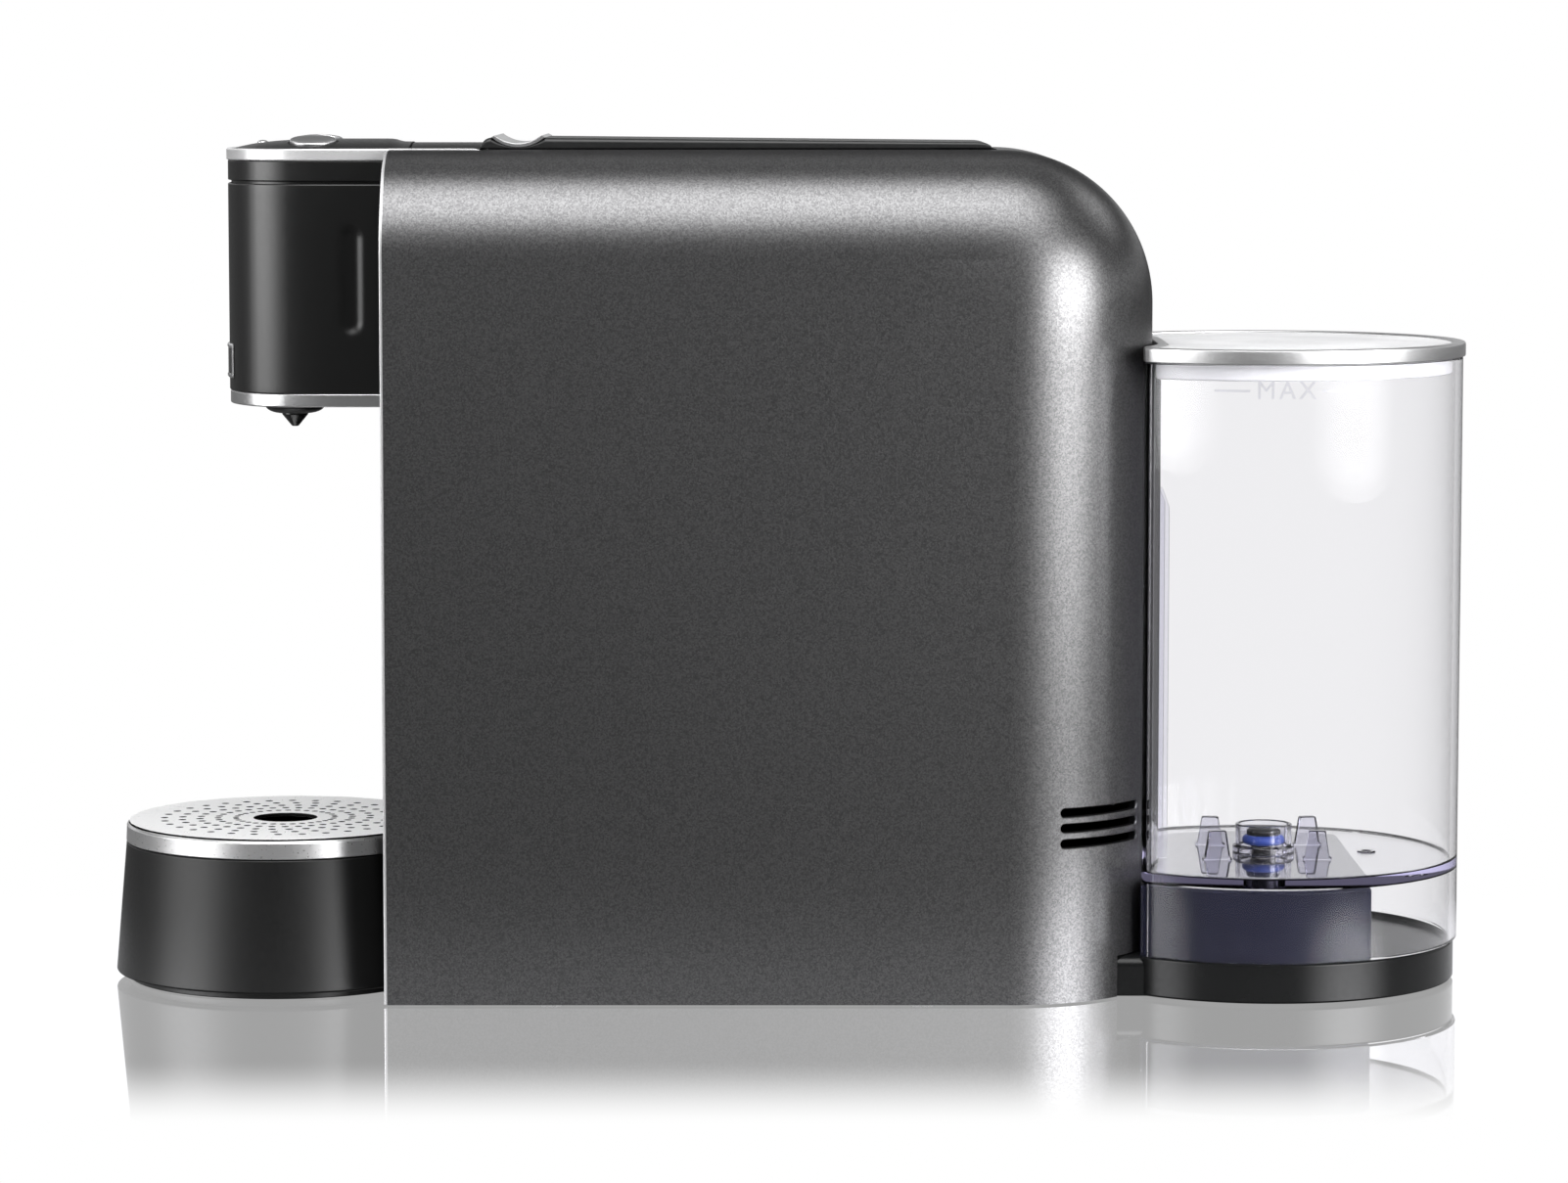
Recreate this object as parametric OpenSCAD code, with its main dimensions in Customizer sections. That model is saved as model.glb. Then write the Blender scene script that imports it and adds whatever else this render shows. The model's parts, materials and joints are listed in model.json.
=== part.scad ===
// Pod coffee machine: slim painted body, forward head with a pull-off spout
// housing, round drip tray, long top lever and a clear lift-off water tank.
// Millimetres. +Z up, front is -Y, tank is +Y, symmetric about X = 0,
// origin on the table under the middle of the overall box.

/* [Body] */
// Width of the painted body shell
body_w = 118; // [117:0.5:118]
// Wall thickness of the painted body shell
shell_t = 2.4; // [2:0.1:2.4]
// Radius of the long roll between the sides and the top
side_roll = 31; // [29:1:31]
// Radius of the two upright rear corners in plan
rear_corner = 44; // [42:1:44]
// Radius of the roll from the top down into the rear face
rear_roll = 46; // [44:1:46]
// Number of vent slots on each rear corner
vent_count = 3; // [1:1:4]
// Height of one vent slot
vent_h = 2.4; // [1.6:0.2:2.6]

/* [Head] */
// Width of the forward head
head_w = 60; // [59:0.5:60]
// Diameter of the two round brew buttons
button_d = 13.8; // [12:0.2:13.8]
// Outward tilt of the brew buttons in degrees
button_tilt = 10; // [8:1:10]
// Travel of a brew button
button_travel = 1.1; // [0.8:0.1:1.1]

/* [Drip tray] */
// Radius of the tray where it stands on the table
tray_r = 51.6; // [50:0.2:51.6]
// Number of curved rows of drain holes
grille_arms = 32; // [16:4:32]
// Number of drain holes in one row
grille_rings = 5; // [2:1:5]
// Diameter of one drain hole
grille_hole_d = 2; // [1.6:0.1:2]
// Radius of the large centre hole
grille_centre_r = 9.6; // [8:0.2:9.6]

/* [Water tank] */
// Outer radius of the clear tank
tank_r = 59.35; // [59:0.05:59.35]
// Wall thickness of the clear tank
tank_t = 2.2; // [1.8:0.1:2.2]
// Outer radius of the lid ring
lid_r = 60.1; // [60:0.05:60.1]

/* [Hidden] */
$fn = 96;

hw = body_w / 2;          // half width of the body
hh = head_w / 2;          // half width of the head
z0 = 0.5;                 // lower edge of the shell
zt = 250.9;               // flat top of the body
yf = -117.7;              // front edge of the shell
yr = 109;                 // rear face of the body
tray_y = -152.7;          // centre of the drip tray
tank_y = 144.2;           // centre of the tank
valve_y = 145;            // centre of the tank valve
lev_y = 45; lev_z = 245.5;   // lever hinge
lnk_y = 17; lnk_z = 242.5;   // pivot of the drag links on the lever
crg_y = -70; crg_z = 229.5;  // front eye of the drag links
cham_z = 219;             // height of the brewing axis
btn_x = 13; btn_y = -141.4; btn_z = 252.7;
spout_y = -148.6;
dome_r = 90;              // crown radius of the control panel
silver = [0.78, 0.79, 0.80];
satin_black = [0.07, 0.07, 0.075];
dark_grey = [0.22, 0.22, 0.23];
clear = [0.86, 0.87, 0.93, 0.35];
steel = [0.7, 0.7, 0.72];

// ---------- shared shapes ----------

// a box given by its low and high corners
module bx(a, b) translate(a) cube(b - a);
// a box mirrored to both sides of X = 0
module bx2(a, b) { bx(a, b); mirror([1, 0, 0]) bx(a, b); }
// a cylinder along X, Y or Z between two positions
module cx(y, z, r, a, b) translate([a, y, z]) rotate([0, 90, 0]) cylinder(r = r, h = b - a);
module cy(x, z, r, a, b) translate([x, a, z]) rotate([-90, 0, 0]) cylinder(r = r, h = b - a);
module cz(x, y, r, a, b) translate([x, y, a]) cylinder(r = r, h = b - a);
// a (Y, Z) outline swept along X
module along_x(a, b) translate([a, 0, 0]) rotate([90, 0, 90]) linear_extrude(b - a) children();
// an (X, Z) outline swept along Y
module along_y(a, b) translate([0, b, 0]) rotate([90, 0, 0]) linear_extrude(b - a) children();

// front view of the body, stepped in by o
module prof_front(o, low) {
    r = side_roll - o; w = hw - o; t = zt - o;
    translate([-w, low]) square([2 * w, t - r - low]);
    translate([-(w - r), low]) square([2 * (w - r), t - low]);
    for (s = [-1, 1]) translate([s * (w - r), t - r]) circle(r);
}
// side view of the body
module prof_side(o, low, front) {
    r = rear_roll - o;
    cy0 = yr - rear_roll; cz0 = zt - rear_roll;
    translate([front, low]) square([cy0 - front, zt - o - low]);
    translate([front, low]) square([yr - o - front, cz0 - low]);
    translate([cy0, cz0]) circle(r);
}
// plan of the body
module prof_plan(o, front) {
    r = rear_corner - o; c = hw - rear_corner;
    translate([-(hw - o), front]) square([2 * (hw - o), yr - rear_corner - front]);
    translate([-c, front]) square([2 * c, yr - o - front]);
    for (s = [-1, 1]) translate([s * c, yr - rear_corner]) circle(r);
}
module shell_solid(o, low, front) intersection() {
    along_y(front, yr + 5) prof_front(o, low);
    along_x(-hw - 5, hw + 5) prof_side(o, low, front);
    translate([0, 0, low]) linear_extrude(zt - low + 5) prof_plan(o, front);
}
// plan of the head: straight sides with a three-arc nose, stepped in by o
module head_plan(o, rear) {
    translate([-(hh - o), -147.74]) square([2 * (hh - o), rear + 147.74]);
    for (s = [-1, 1]) translate([s * (hh - 15), -147.74]) circle(15 - o);
    intersection() {
        translate([0, -130.3]) circle(38 - o);
        translate([0, -130.3]) polygon([[0, 0], [-0.652 * 45, -0.7582 * 45], [0, -60], [0.652 * 45, -0.7582 * 45]]);
    }
    translate([-(hh - 15), -155]) square([2 * (hh - 15), 20]);
}
module head_block(o, rear, a, b) translate([0, 0, a]) linear_extrude(b - a) head_plan(o, rear);
// plan of the tank: a D with a channel that follows the back of the body
module tank_plan(r, o, gap) difference() {
    intersection() {
        translate([0, tank_y]) circle(r - o);
        translate([-80, 104.9 + o]) square([160, 120]);
    }
    prof_plan(-(gap + o), 0);
}
module tank_block(r, o, gap, a, b) translate([0, 0, a]) linear_extrude(b - a) tank_plan(r, o, gap);
// a round pipe through a list of points
module pipe(p, r) {
    for (i = [0 : len(p) - 2]) {
        d = p[i + 1] - p[i]; l = norm(d);
        translate(p[i]) rotate([0, acos(d[2] / l), atan2(d[1], d[0])]) cylinder(r = r, h = l);
    }
    if (len(p) > 2) for (i = [1 : len(p) - 2]) translate(p[i]) sphere(r);
}
// a wire coil along +Z from z = 0 to h
module coil(R, w, turns, h) {
    n = 16; m = 6; N = turns * n;
    pts = [for (i = [0 : N]) let (a = 360 * i / n, zz = w + (h - 2 * w) * i / N)
        for (j = [0 : m - 1]) let (b = 360 * j / m)
            [(R + w * cos(b)) * cos(a), (R + w * cos(b)) * sin(a), zz + w * sin(b)]];
    side = [for (i = [0 : N - 1]) for (j = [0 : m - 1]) let (k = (j + 1) % m)
        each [[i * m + j, (i + 1) * m + j, (i + 1) * m + k], [i * m + j, (i + 1) * m + k, i * m + k]]];
    caps = [for (j = [1 : m - 2]) each [[0, j, j + 1], [N * m, N * m + j + 1, N * m + j]]];
    polyhedron(pts, concat(side, caps), convexity = 4);
}
module at_button(s) translate([s * btn_x, btn_y, btn_z]) rotate([0, s * button_tilt, 0]) children();

// ---------- fixed body ----------

module body_shell() color([0.20, 0.20, 0.21]) difference() {
    shell_solid(0, z0, yf);
    shell_solid(shell_t, -5, yf - 10);
    // lever well, and the slot for the head
    bx([-23, -89.4, 235], [23, 62.2, 260]);
    // room for the lever tail to swing down
    bx([-25.4, 43.5, 235], [25.4, 62.2, 260]);
    bx([-hh - 0.1, yf - 1, 240], [hh + 0.1, -89.35, 260]);
    // slot for the neck of the tank base
    bx([-44.2, 88, -1], [44.2, 120, 12.75]);
    // cord gland hole on the left side
    cx(54, 16, 6.5, -hw - 2, -hw + 6);
    // vent slots round both rear corners
    for (s = [-1, 1]) for (i = [0 : vent_count - 1]) {
        zc = 57 - i * 4.6;
        translate([s * (hw - rear_corner), yr - rear_corner, zc]) {
            mirror([s < 0 ? 1 : 0, 0, 0]) {
                rotate([0, 0, 22.2]) rotate_extrude(angle = 38.4) translate([rear_corner - 8, -vent_h / 2]) square([14, vent_h]);
                for (a = [22.2, 60.6]) rotate([0, 90, a]) translate([0, 0, rear_corner - 8]) cylinder(r = vent_h / 2, h = 14);
            }
        }
    }
}
module front_trim() color(silver) difference() {
    along_y(yf - 0.9, yf) prof_front(0.15, z0 + 0.1);
    along_y(yf - 2, yf + 1) prof_front(shell_t, -2);
    bx([-hh - 0.1, yf - 3, 240], [hh + 0.1, yf + 3, 260]);
}
module front_panel() color(satin_black) difference() {
    union() {
        difference() {
            along_y(-116.4, -114) prof_front(shell_t + 0.1, 4.1);
            // way through for the head frame
            bx([-hh - 0.4, -120, 241.2], [hh + 0.4, -110, 260]);
        }
        // curved niche that the drip tray stands in
        difference() {
            cz(0, tray_y, 55.3, 4.1, 62);
            bx([-70, -230, 0], [70, -114.1, 70]);
        }
        // rails that the spout housing slides on
        bx2([21.5, -146, 186.4], [26.5, -116.3, 188.2]);
        bx2([21.5, -146, 230.8], [26.5, -116.3, 232.6]);
    }
    cz(0, tray_y, 53.3, -1, 60);
    bx([-38.6, -120, 65.4], [38.6, -110, 160.6]);
    cy(0, 205, 5.2, -120, -110);
}
module base_plate() color(satin_black) difference() {
    translate([0, 0, 1.5]) linear_extrude(2.5) prof_plan(shell_t + 0.3, -113.6);
    cz(0, tray_y, 55.5, 0, 10);
    bx([-44.5, 91.8, 0], [44.5, 120, 10]);
    for (p = [[44, -98], [44, 70]]) for (s = [-1, 1]) cz(s * p[0], p[1], 3, 0, 10);
    for (y = [-70, 40]) for (s = [-1, 1]) { cz(s * 48.25, y, 1.6, 0, 10); cz(s * 48.25, y, 3.6, 0, 2.7); }
    // cooling slots
    for (i = [-3 : 3]) bx([i * 8 - 1.5, 5, 0], [i * 8 + 1.5, 55, 10]);
}
module feet() color([0.05, 0.05, 0.05]) {
    for (p = [[44, -98], [44, 70]]) for (s = [-1, 1]) {
        cz(s * p[0], p[1], 7, 0, 1.5);
        cz(s * p[0], p[1], 2.95, 1.5, 5.2);
    }
    for (s = [-1, 1]) cz(s * 30, 172, 7, 0, 0.6);
}
module base_screws() color(steel) for (y = [-70, 40]) for (s = [-1, 1]) difference() {
    union() { cz(s * 48.25, y, 3.3, 1.5, 2.65); cz(s * 48.25, y, 1.4, 2.65, 12); }
    for (a = [0, 90]) translate([s * 48.25, y, 1.4]) rotate([0, 0, a]) translate([-2, -0.35, 0]) cube([4, 0.7, 0.7]);
}
module chassis() color(dark_grey) difference() {
    union() {
        // two side plates with their screw bosses
        bx2([47, -100, 4.05], [49.5, 75, 232]);
        for (y = [-70, 40]) for (s = [-1, 1]) cz(s * 48.25, y, 4, 4.05, 20);
        // ledges that the capsule bin slides on
        bx2([34, -100, 62.5], [47.2, -62, 65.5]);
        // cross beam under the heater
        bx([-47.2, 4, 190], [47.2, 14, 197.8]);
        // bridge with the two lever hinge ears
        bx([-47.2, 36, 224], [47.2, 62, 227]);
        difference() {
            bx2([25.6, 38, 226], [28.4, 52, 248.2]);
            cx(lev_y, lev_z, 2.01, -40, 40);
        }
        // rear tie
        bx([-47.2, 70, 100], [47.2, 73, 120]);
    }
    for (y = [-70, 40]) for (s = [-1, 1]) cz(s * 48.25, y, 1.45, 0, 13);
    // weight-saving windows in the side plates
    for (w = [[-90, -58, 80, 180], [-46, -6, 30, 80], [-46, -6, 100, 180], [22, 62, 130, 215], [22, 62, 30, 90]])
        bx([-60, w[0], w[2]], [60, w[1], w[3]]);
}
module head_frame() color(satin_black) difference() {
    head_block(0.3, -89.8, 241.6, 247.6);
    head_block(2.3, -116, 243.6, 250);
    // the capsule port runs out to the rear
    bx([-20.5, -114.6, 240], [20.5, -80, 250]);
    // snap openings under the board
    for (s = [-1, 1]) bx([s * 20 - 2, -150, 240], [s * 20 + 2, -144, 245]);
}
module top_ring() color(silver) {
    difference() {
        head_block(-0.1, -117.75, 247.65, 251.2);
        head_block(1.5, -100, 247, 252);
    }
    bx2([28.6, -117.8, 248.3], [30, -90.1, 251.35]);
    for (s = [-1, 1]) cx(-90.1, 250.65, 0.7, s > 0 ? 28.6 : -30, s > 0 ? 30 : -28.6);
}
// crowned strip used by the control panel and the port shutter
module crown(top, a, b) translate([0, a, top - dome_r]) rotate([-90, 0, 0]) cylinder(r = dome_r, h = b - a, $fn = 480);
module control_panel() color([0.09, 0.09, 0.095]) difference() {
    intersection() {
        union() {
            head_block(1.6, -117.8, 247.7, 256);
            bx([-28.4, -118, 247.7], [28.4, -91.25, 256]);
        }
        along_x(-40, 40) polygon([[-170, 247.7], [-170, 250.6], [-166.4, 251.1], [-161, 252.3], [-154.5, 253.1],
            [-148, 253.6], [-140, 253.8], [-117.9, 253.8], [-116.4, 253], [-91, 253], [-91, 247.7]]);
        crown(253.8, -175, -90);
    }
    // hollow underside
    difference() {
        head_block(3.2, -118, 247, 256);
        difference() {
            translate([-50, -200, 249]) cube([100, 100, 20]);
            crown(251.6, -200, -100);
        }
        bx([-50, -200, 249.3], [50, -158, 270]);
        bx([-50, -118.4, 240], [50, -80, 270]);
    }
    // capsule port
    bx([-19.6, -112.4, 240], [19.6, -80, 270]);
    for (s = [-1, 1]) at_button(s) translate([0, 0, -8]) cylinder(r = button_d / 2 + 0.3, h = 20);
    cz(0, -157.6, 1.95, 240, 260);
}
module switch_board() color([0.05, 0.25, 0.12]) {
    intersection() { bx([-24, -159, 243.8], [24, -122, 245.4]); head_block(3, -120, 240, 250); }
    for (s = [-1, 1]) at_button(s) translate([0, 0, -8.3]) cylinder(r = 4.6, h = 1.8);
    bx([-2.5, -159, 245], [2.5, -155, 248.2]);
    bx([-5, -134, 245], [5, -126, 248]);
}
module lever_pin() color(steel) cx(lev_y, lev_z, 2, -28.9, 28.9);
module brew_frame() color(dark_grey) difference() {
    union() {
        bx2([22.5, -113.9, 198], [25.5, -20, 241.6]);
        bx([-25.5, -113.9, 198], [25.5, -111.4, 241.6]);
        bx([-25.5, -24, 198], [25.5, -20, 206]);
        bx2([25.4, -50, 198], [47, -45, 204]);
    }
    cy(0, 205, 2.5, -120, -110);
}
module injector_plate() color(steel) difference() {
    cy(0, cham_z, 18.4, -111.35, -109.2);
    cy(0, 205, 2.5, -120, -100);
    for (a = [0 : 60 : 300]) cy(10 * cos(a), cham_z + 2 + 10 * sin(a), 0.8, -120, -100);
}
module outlet_tube() color(dark_grey) difference() {
    pipe([[0, -113.95, 205], [0, -149, 205], [0, -149, 193]], 4.5);
    pipe([[0, -110, 205], [0, -149, 205], [0, -149, 190]], 2.5);
    bx([-9, -113.95, 195], [9, -100, 215]);
}
module capsule_chute() color(dark_grey) difference() {
    bx([-26, -111, 163], [26, -63, 197.6]);
    bx([-24.2, -109.2, 160], [24.2, -64.8, 200]);
}
module thermoblock() color([0.65, 0.66, 0.67]) difference() {
    union() {
        bx([-19, -14, 203], [19, 34, 229]);
        for (i = [-2 : 2]) bx([i * 8 - 1.5, -14, 198], [i * 8 + 1.5, 34, 203.2]);
        cy(0, cham_z, 6, -16, -13);
    }
    cy(0, cham_z, 2.5, -17, -4);
    cx(10, 214, 2.05, 12, 20);
    for (s = [-1, 1]) cy(s * 13, 224, 1.6, -15, -6);
}
module hot_water_tube() color(steel) difference() {
    cy(0, cham_z, 2.5, -47, -4.1);
    cy(0, cham_z, 1.5, -48, -3);
}
module pump() color([0.45, 0.45, 0.46]) {
    difference() {
        union() {
            bx([-16, -30, 30.1], [16, 26, 61]);
            cy(0, 45.5, 9, -48, -29);
            cy(0, 45.5, 5, -60, -47);
            cy(0, 45.5, 7, 25, 40);
            cy(0, 45.5, 3.2, 39, 46);
        }
        cy(0, 45.5, 1.5, -62, -50);
        for (s = [-1, 1]) bx([s * 16 - 2, -22, 34], [s * 16 + 2, 18, 57]);
    }
}
module pump_mounts() color([0.08, 0.08, 0.08]) for (y = [-26, 16]) difference() {
    bx([-21, y, 4.05], [21, y + 6, 36]);
    bx([-16.05, y - 1, 30.05], [16.05, y + 7, 40]);
    bx([-12, y - 1, 9], [12, y + 7, 22]);
}
module flow_meter() color([0.85, 0.85, 0.82]) difference() {
    union() { cy(0, 22, 11, 60, 74); cy(0, 22, 5, 56, 60.5); cz(0, 67, 4.2, 10.7, 14); }
    cy(0, 22, 8.5, 62, 72);
    cz(0, 67, 3.15, 5, 15);
}
module inlet_tube() color([0.9, 0.9, 0.88]) difference() {
    pipe([[0, 101, 7.4], [0, 67, 7.4], [0, 67, 13]], 3.1);
    pipe([[0, 103, 7.4], [0, 67, 7.4], [0, 67, 14]], 2);
}
module pressure_tube() color([0.92, 0.92, 0.9]) {
    pipe([[0, -56.5, 52.7], [30, -56.5, 52.7], [30, -56.5, 214], [30, 10, 214], [19.1, 10, 214]], 2);
    // short hose from the meter up to the pump
    pipe([[0, 55.8, 22], [0, 52, 22], [0, 52, 45.5], [0, 46.1, 45.5]], 2.6);
}
module control_board() color([0.05, 0.28, 0.14]) {
    bx([41, -40, 92], [42.6, 50, 172]);
    for (p = [[-36, 96], [46, 96], [-36, 168], [46, 168]]) cx(p[0], p[1], 2.2, 42.5, 46.95);
    bx([30, -30, 100], [41.1, -6, 124]);
    bx([33, 6, 104], [41.1, 22, 118]);
    for (i = [0 : 2]) cx(-24 + i * 13, 146, 5, 31, 41.1);
    bx([38, 20, 140], [41.1, 40, 160]);
}
module cord_gland() color([0.06, 0.06, 0.06]) difference() {
    union() { cx(54, 16, 8.6, -hw - 1.1, -hw - 0.02); cx(54, 16, 6.42, -hw - 0.5, -hw + 8.4); }
    cx(54, 16, 3.6, -hw - 3, -hw + 10);
}
module tank_base() color(satin_black) difference() {
    union() {
        intersection() {
            cz(0, tank_y, 58.4, 0.6, 12.4);
            bx([-80, 104.9, 0], [80, 220, 20]);
        }
        bx([-44, 92, 0.6], [44, 130, 9.4]);
        bx([-41, 92, 0.6], [41, 130, 12.4]);
        for (s = [-1, 1]) cy(s * 41, 9.4, 3, 92, 130);
        bx2([8, 80, 4.05], [30, 92.5, 7]);
    }
    // raised rim round a sunk floor
    intersection() {
        cz(0, tank_y, 56.6, 11.3, 14);
        bx([-80, 107, 0], [80, 220, 20]);
    }
    cy(0, 7.4, 3.2, 90, valve_y);
    cz(0, valve_y, 3.2, 4.2, 14);
}
module dock_block() color([0.07, 0.08, 0.11]) {
    difference() {
        translate([0, 0, 11.35]) linear_extrude(33.6 - 11.35) difference() {
            intersection() {
                translate([0, tank_y]) circle(55.3);
                translate([-80, 108.2]) square([160, 172.5 - 108.2]);
            }
            prof_plan(-4.0, 0);
        }
        cz(0, valve_y, 7.6, 22, 40);
        cz(0, valve_y, 3.2, 5, 23);
    }
    // pin that pushes the tank valve open, on its cross web
    cz(0, valve_y, 1.5, 20.5, 30.2);
    bx([-7.9, valve_y - 0.7, 22], [7.9, valve_y + 0.7, 24]);
}
module dock_seal() color([0.1, 0.1, 0.1]) translate([0, valve_y, 29]) rotate_extrude() translate([6.9, 0]) square([0.68, 2.5]);

// ---------- lever ----------

module lever() color(satin_black) difference() {
    union() {
        intersection() {
            along_x(-25, 25) polygon([[-90.8, 251.2], [-90.7, 252.2], [-90, 253.4], [-88.9, 254.1], [-87.6, 254.4],
                [-71, 254.35], [-59, 254.1], [57.6, 253.1], [58.6, 252.6], [60.6, 251.2]]);
            along_y(-100, 70) {
                translate([-25, 251]) square([50, 1.8]);
                translate([-23.4, 251]) square([46.8, 3.5]);
                for (s = [-1, 1]) translate([s * 23.4, 252.8]) circle(1.6);
            }
        }
        bx([-22.5, -88.8, 248.4], [22.5, -66, 251.4]);
        // cheeks that carry the hinge and the link pivot
        bx2([19.2, -66.5, 243.4], [21.8, 54, 251.4]);
        for (s = [-1, 1]) {
            a = s > 0 ? 19.2 : -21.8;
            cx(lev_y, lev_z, 4.6, a, a + 2.6);
            cx(lnk_y, lnk_z, 4.4, a, a + 2.6);
        }
    }
    // bed of the finger grip
    cx(-79.6, 264.1, 12.5, -30, 30);
    cx(lev_y, lev_z, 2.06, -40, 40);
    cx(lnk_y, lnk_z, 2.01, -40, 40);
}
module lever_grip() color(silver) intersection() {
    difference() {
        cx(-79.6, 264.1, 12.45, -25.15, 25.15);
        cx(-79.6, 264.1, 11.2, -40, 40);
    }
    bx([-40, -95, 250], [40, -60, 254.5]);
}
module link_pin() color(steel) cx(lnk_y, lnk_z, 2, -22.2, 22.2);
module drag_links() color(steel) difference() {
    union() {
        for (s = [-1, 1]) {
            a = s > 0 ? 15.6 : -18;
            ang = atan2(lnk_z - crg_z, lnk_y - crg_y);
            along_x(a, a + 2.4) {
                translate([lnk_y, lnk_z]) circle(4.4);
                translate([crg_y, crg_z]) circle(4.6);
                translate([crg_y, crg_z]) rotate(ang) translate([1, -3]) square([norm([lnk_y - crg_y, lnk_z - crg_z]) - 2, 6]);
            }
        }
        cx(lnk_y, lnk_z, 3.6, -15.9, 15.9);
    }
    cx(lnk_y, lnk_z, 2.06, -40, 40);
    cx(crg_y, crg_z, 2.06, -40, 40);
}

// ---------- piston carriage ----------

module carriage() color(dark_grey) difference() {
    union() {
        bx([-20.6, -80.9, 203], [20.6, -60, 236]);
        // runners
        bx2([20.5, -80.9, 210], [22.2, -60, 214]);
        // arms up to the port shutter
        bx2([9, -93, 240], [14.5, -77, 242]);
        bx2([9, -80.9, 235], [14.5, -77, 241]);
        bx2([9, -93, 240], [14.5, -91.4, 249.15]);
        // rear sleeve that slides on the hot water tube
        cy(0, cham_z, 5.2, -61, -42);
    }
    // slots that the drag links swing in
    bx2([15.1, -90, 222], [18.6, -50, 240]);
    cy(0, cham_z, 2.56, -90, -30);
}
module piston() color(steel) difference() {
    cy(0, cham_z, 18.4, -87.6, -80.95);
    difference() { cy(0, cham_z, 15.35, -88, -86.2); cy(0, cham_z, 12.65, -89, -85); }
    cy(0, cham_z, 2.56, -90, -80);
}
module piston_seal() color([0.55, 0.12, 0.08]) translate([0, -87.45, cham_z]) rotate([90, 0, 0])
    rotate_extrude() translate([14, 0]) circle(1.22, $fn = 24);
module port_shutter() color(satin_black) intersection() {
    crown(252.75, -112.1, -91.3);
    bx([-19.3, -112.1, 249.2], [19.3, -91.3, 256]);
}

// ---------- pull-off spout housing ----------

module outlet_casing() color(satin_black) difference() {
    union() {
        difference() {
            head_block(0.3, -116.9, 178.8, 240.8);
            head_block(2.7, -100, 170, 250);
        }
        // inner ledges that slip over the rear rails
        bx2([24, -150, 184], [27.5, -116.9, 186]);
        bx2([24, -150, 233], [27.5, -116.9, 235]);
    }
    // finger recesses in both sides
    for (s = [-1, 1]) {
        a = s > 0 ? 28.4 : -31;
        for (z = [199.2, 225.7]) cx(-128.3, z, 4, a, a + 2.6);
        bx([a, -132.3, 199.2], [a + 2.6, -124.3, 225.7]);
    }
}
module outlet_bottom_ring() color(silver) difference() {
    head_block(0.5, -117, 174.8, 178.75);
    head_block(3, -100, 170, 180);
}
module outlet_floor() color(satin_black) difference() {
    head_block(3.05, -117, 175.6, 177.6);
    cz(0, spout_y, 8.7, 170, 180);
}
module spout_funnel() color(satin_black) difference() {
    union() {
        translate([0, spout_y, 171.4]) cylinder(r1 = 5.6, r2 = 8.6, h = 3.1);
        cz(0, spout_y, 8.6, 174.45, 178);
        cz(0, spout_y, 10, 177.65, 190);
    }
    cz(0, spout_y, 8.2, 179.5, 191);
    cz(0, spout_y, 3.2, 170, 180);
}
module spout_nozzle() color([0.05, 0.05, 0.05]) difference() {
    union() {
        cz(0, spout_y, 3.1, 171.2, 176);
        translate([0, spout_y, 168]) cylinder(r1 = 0.95, r2 = 3.85, h = 3.35);
        translate([0, spout_y, 168.35]) sphere(1.05);
    }
    cz(0, spout_y, 0.6, 160, 172);
    cz(0, spout_y, 2.1, 171, 180);
}
module badge_plate() color(silver) intersection() {
    difference() { head_block(-0.05, -140, 182.5, 192.8); head_block(0.28, -130, 180, 195); }
    bx([-14, -175, 180], [14, -150, 195]);
}

// ---------- bin and tray ----------

module capsule_bin() color([0.1, 0.1, 0.105]) difference() {
    union() {
        difference() {
            bx([-36.5, -114.2, 66], [36.5, -63, 158]);
            bx([-34.7, -112.4, 67.8], [34.7, -64.8, 170]);
        }
        bx([-38.25, -116.3, 65.75], [38.25, -114.1, 160.25]);
    }
    // finger notch in the top of the front
    cy(0, 168, 16, -120, -110);
}
module tray_cup() color(satin_black) difference() {
    translate([0, tray_y, 0.2]) union() {
        cylinder(r1 = tray_r, r2 = tray_r - 3.6, h = 41.5);
        cylinder(r = 45.6, h = 45.2);
    }
    translate([0, tray_y, 2.6]) union() {
        cylinder(r1 = tray_r - 7.2, r2 = 43.4, h = 39.4);
        cylinder(r = 43.4, h = 60);
    }
}
module drip_grille() color([0.86, 0.86, 0.86]) difference() {
    translate([0, tray_y, 0]) difference() {
        union() {
            translate([0, 0, 42]) cylinder(r1 = 48.1, r2 = 47.75, h = 5.2);
            translate([0, 0, 47.2]) cylinder(r1 = 47.75, r2 = 46.9, h = 0.8);
        }
        translate([0, 0, 41]) cylinder(r = 46.1, h = 5.9);
    }
    cz(0, tray_y, grille_centre_r, 40, 60);
    for (i = [0 : grille_rings - 1]) for (k = [0 : grille_arms - 1]) {
        r = 15 + 5.42 * i; a = 1.9 - 2.7 * (4 - i) + k * 360 / grille_arms;
        cz(r * cos(a), tray_y + r * sin(a), grille_hole_d / 2, 40, 60);
    }
}

// ---------- buttons ----------

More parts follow.
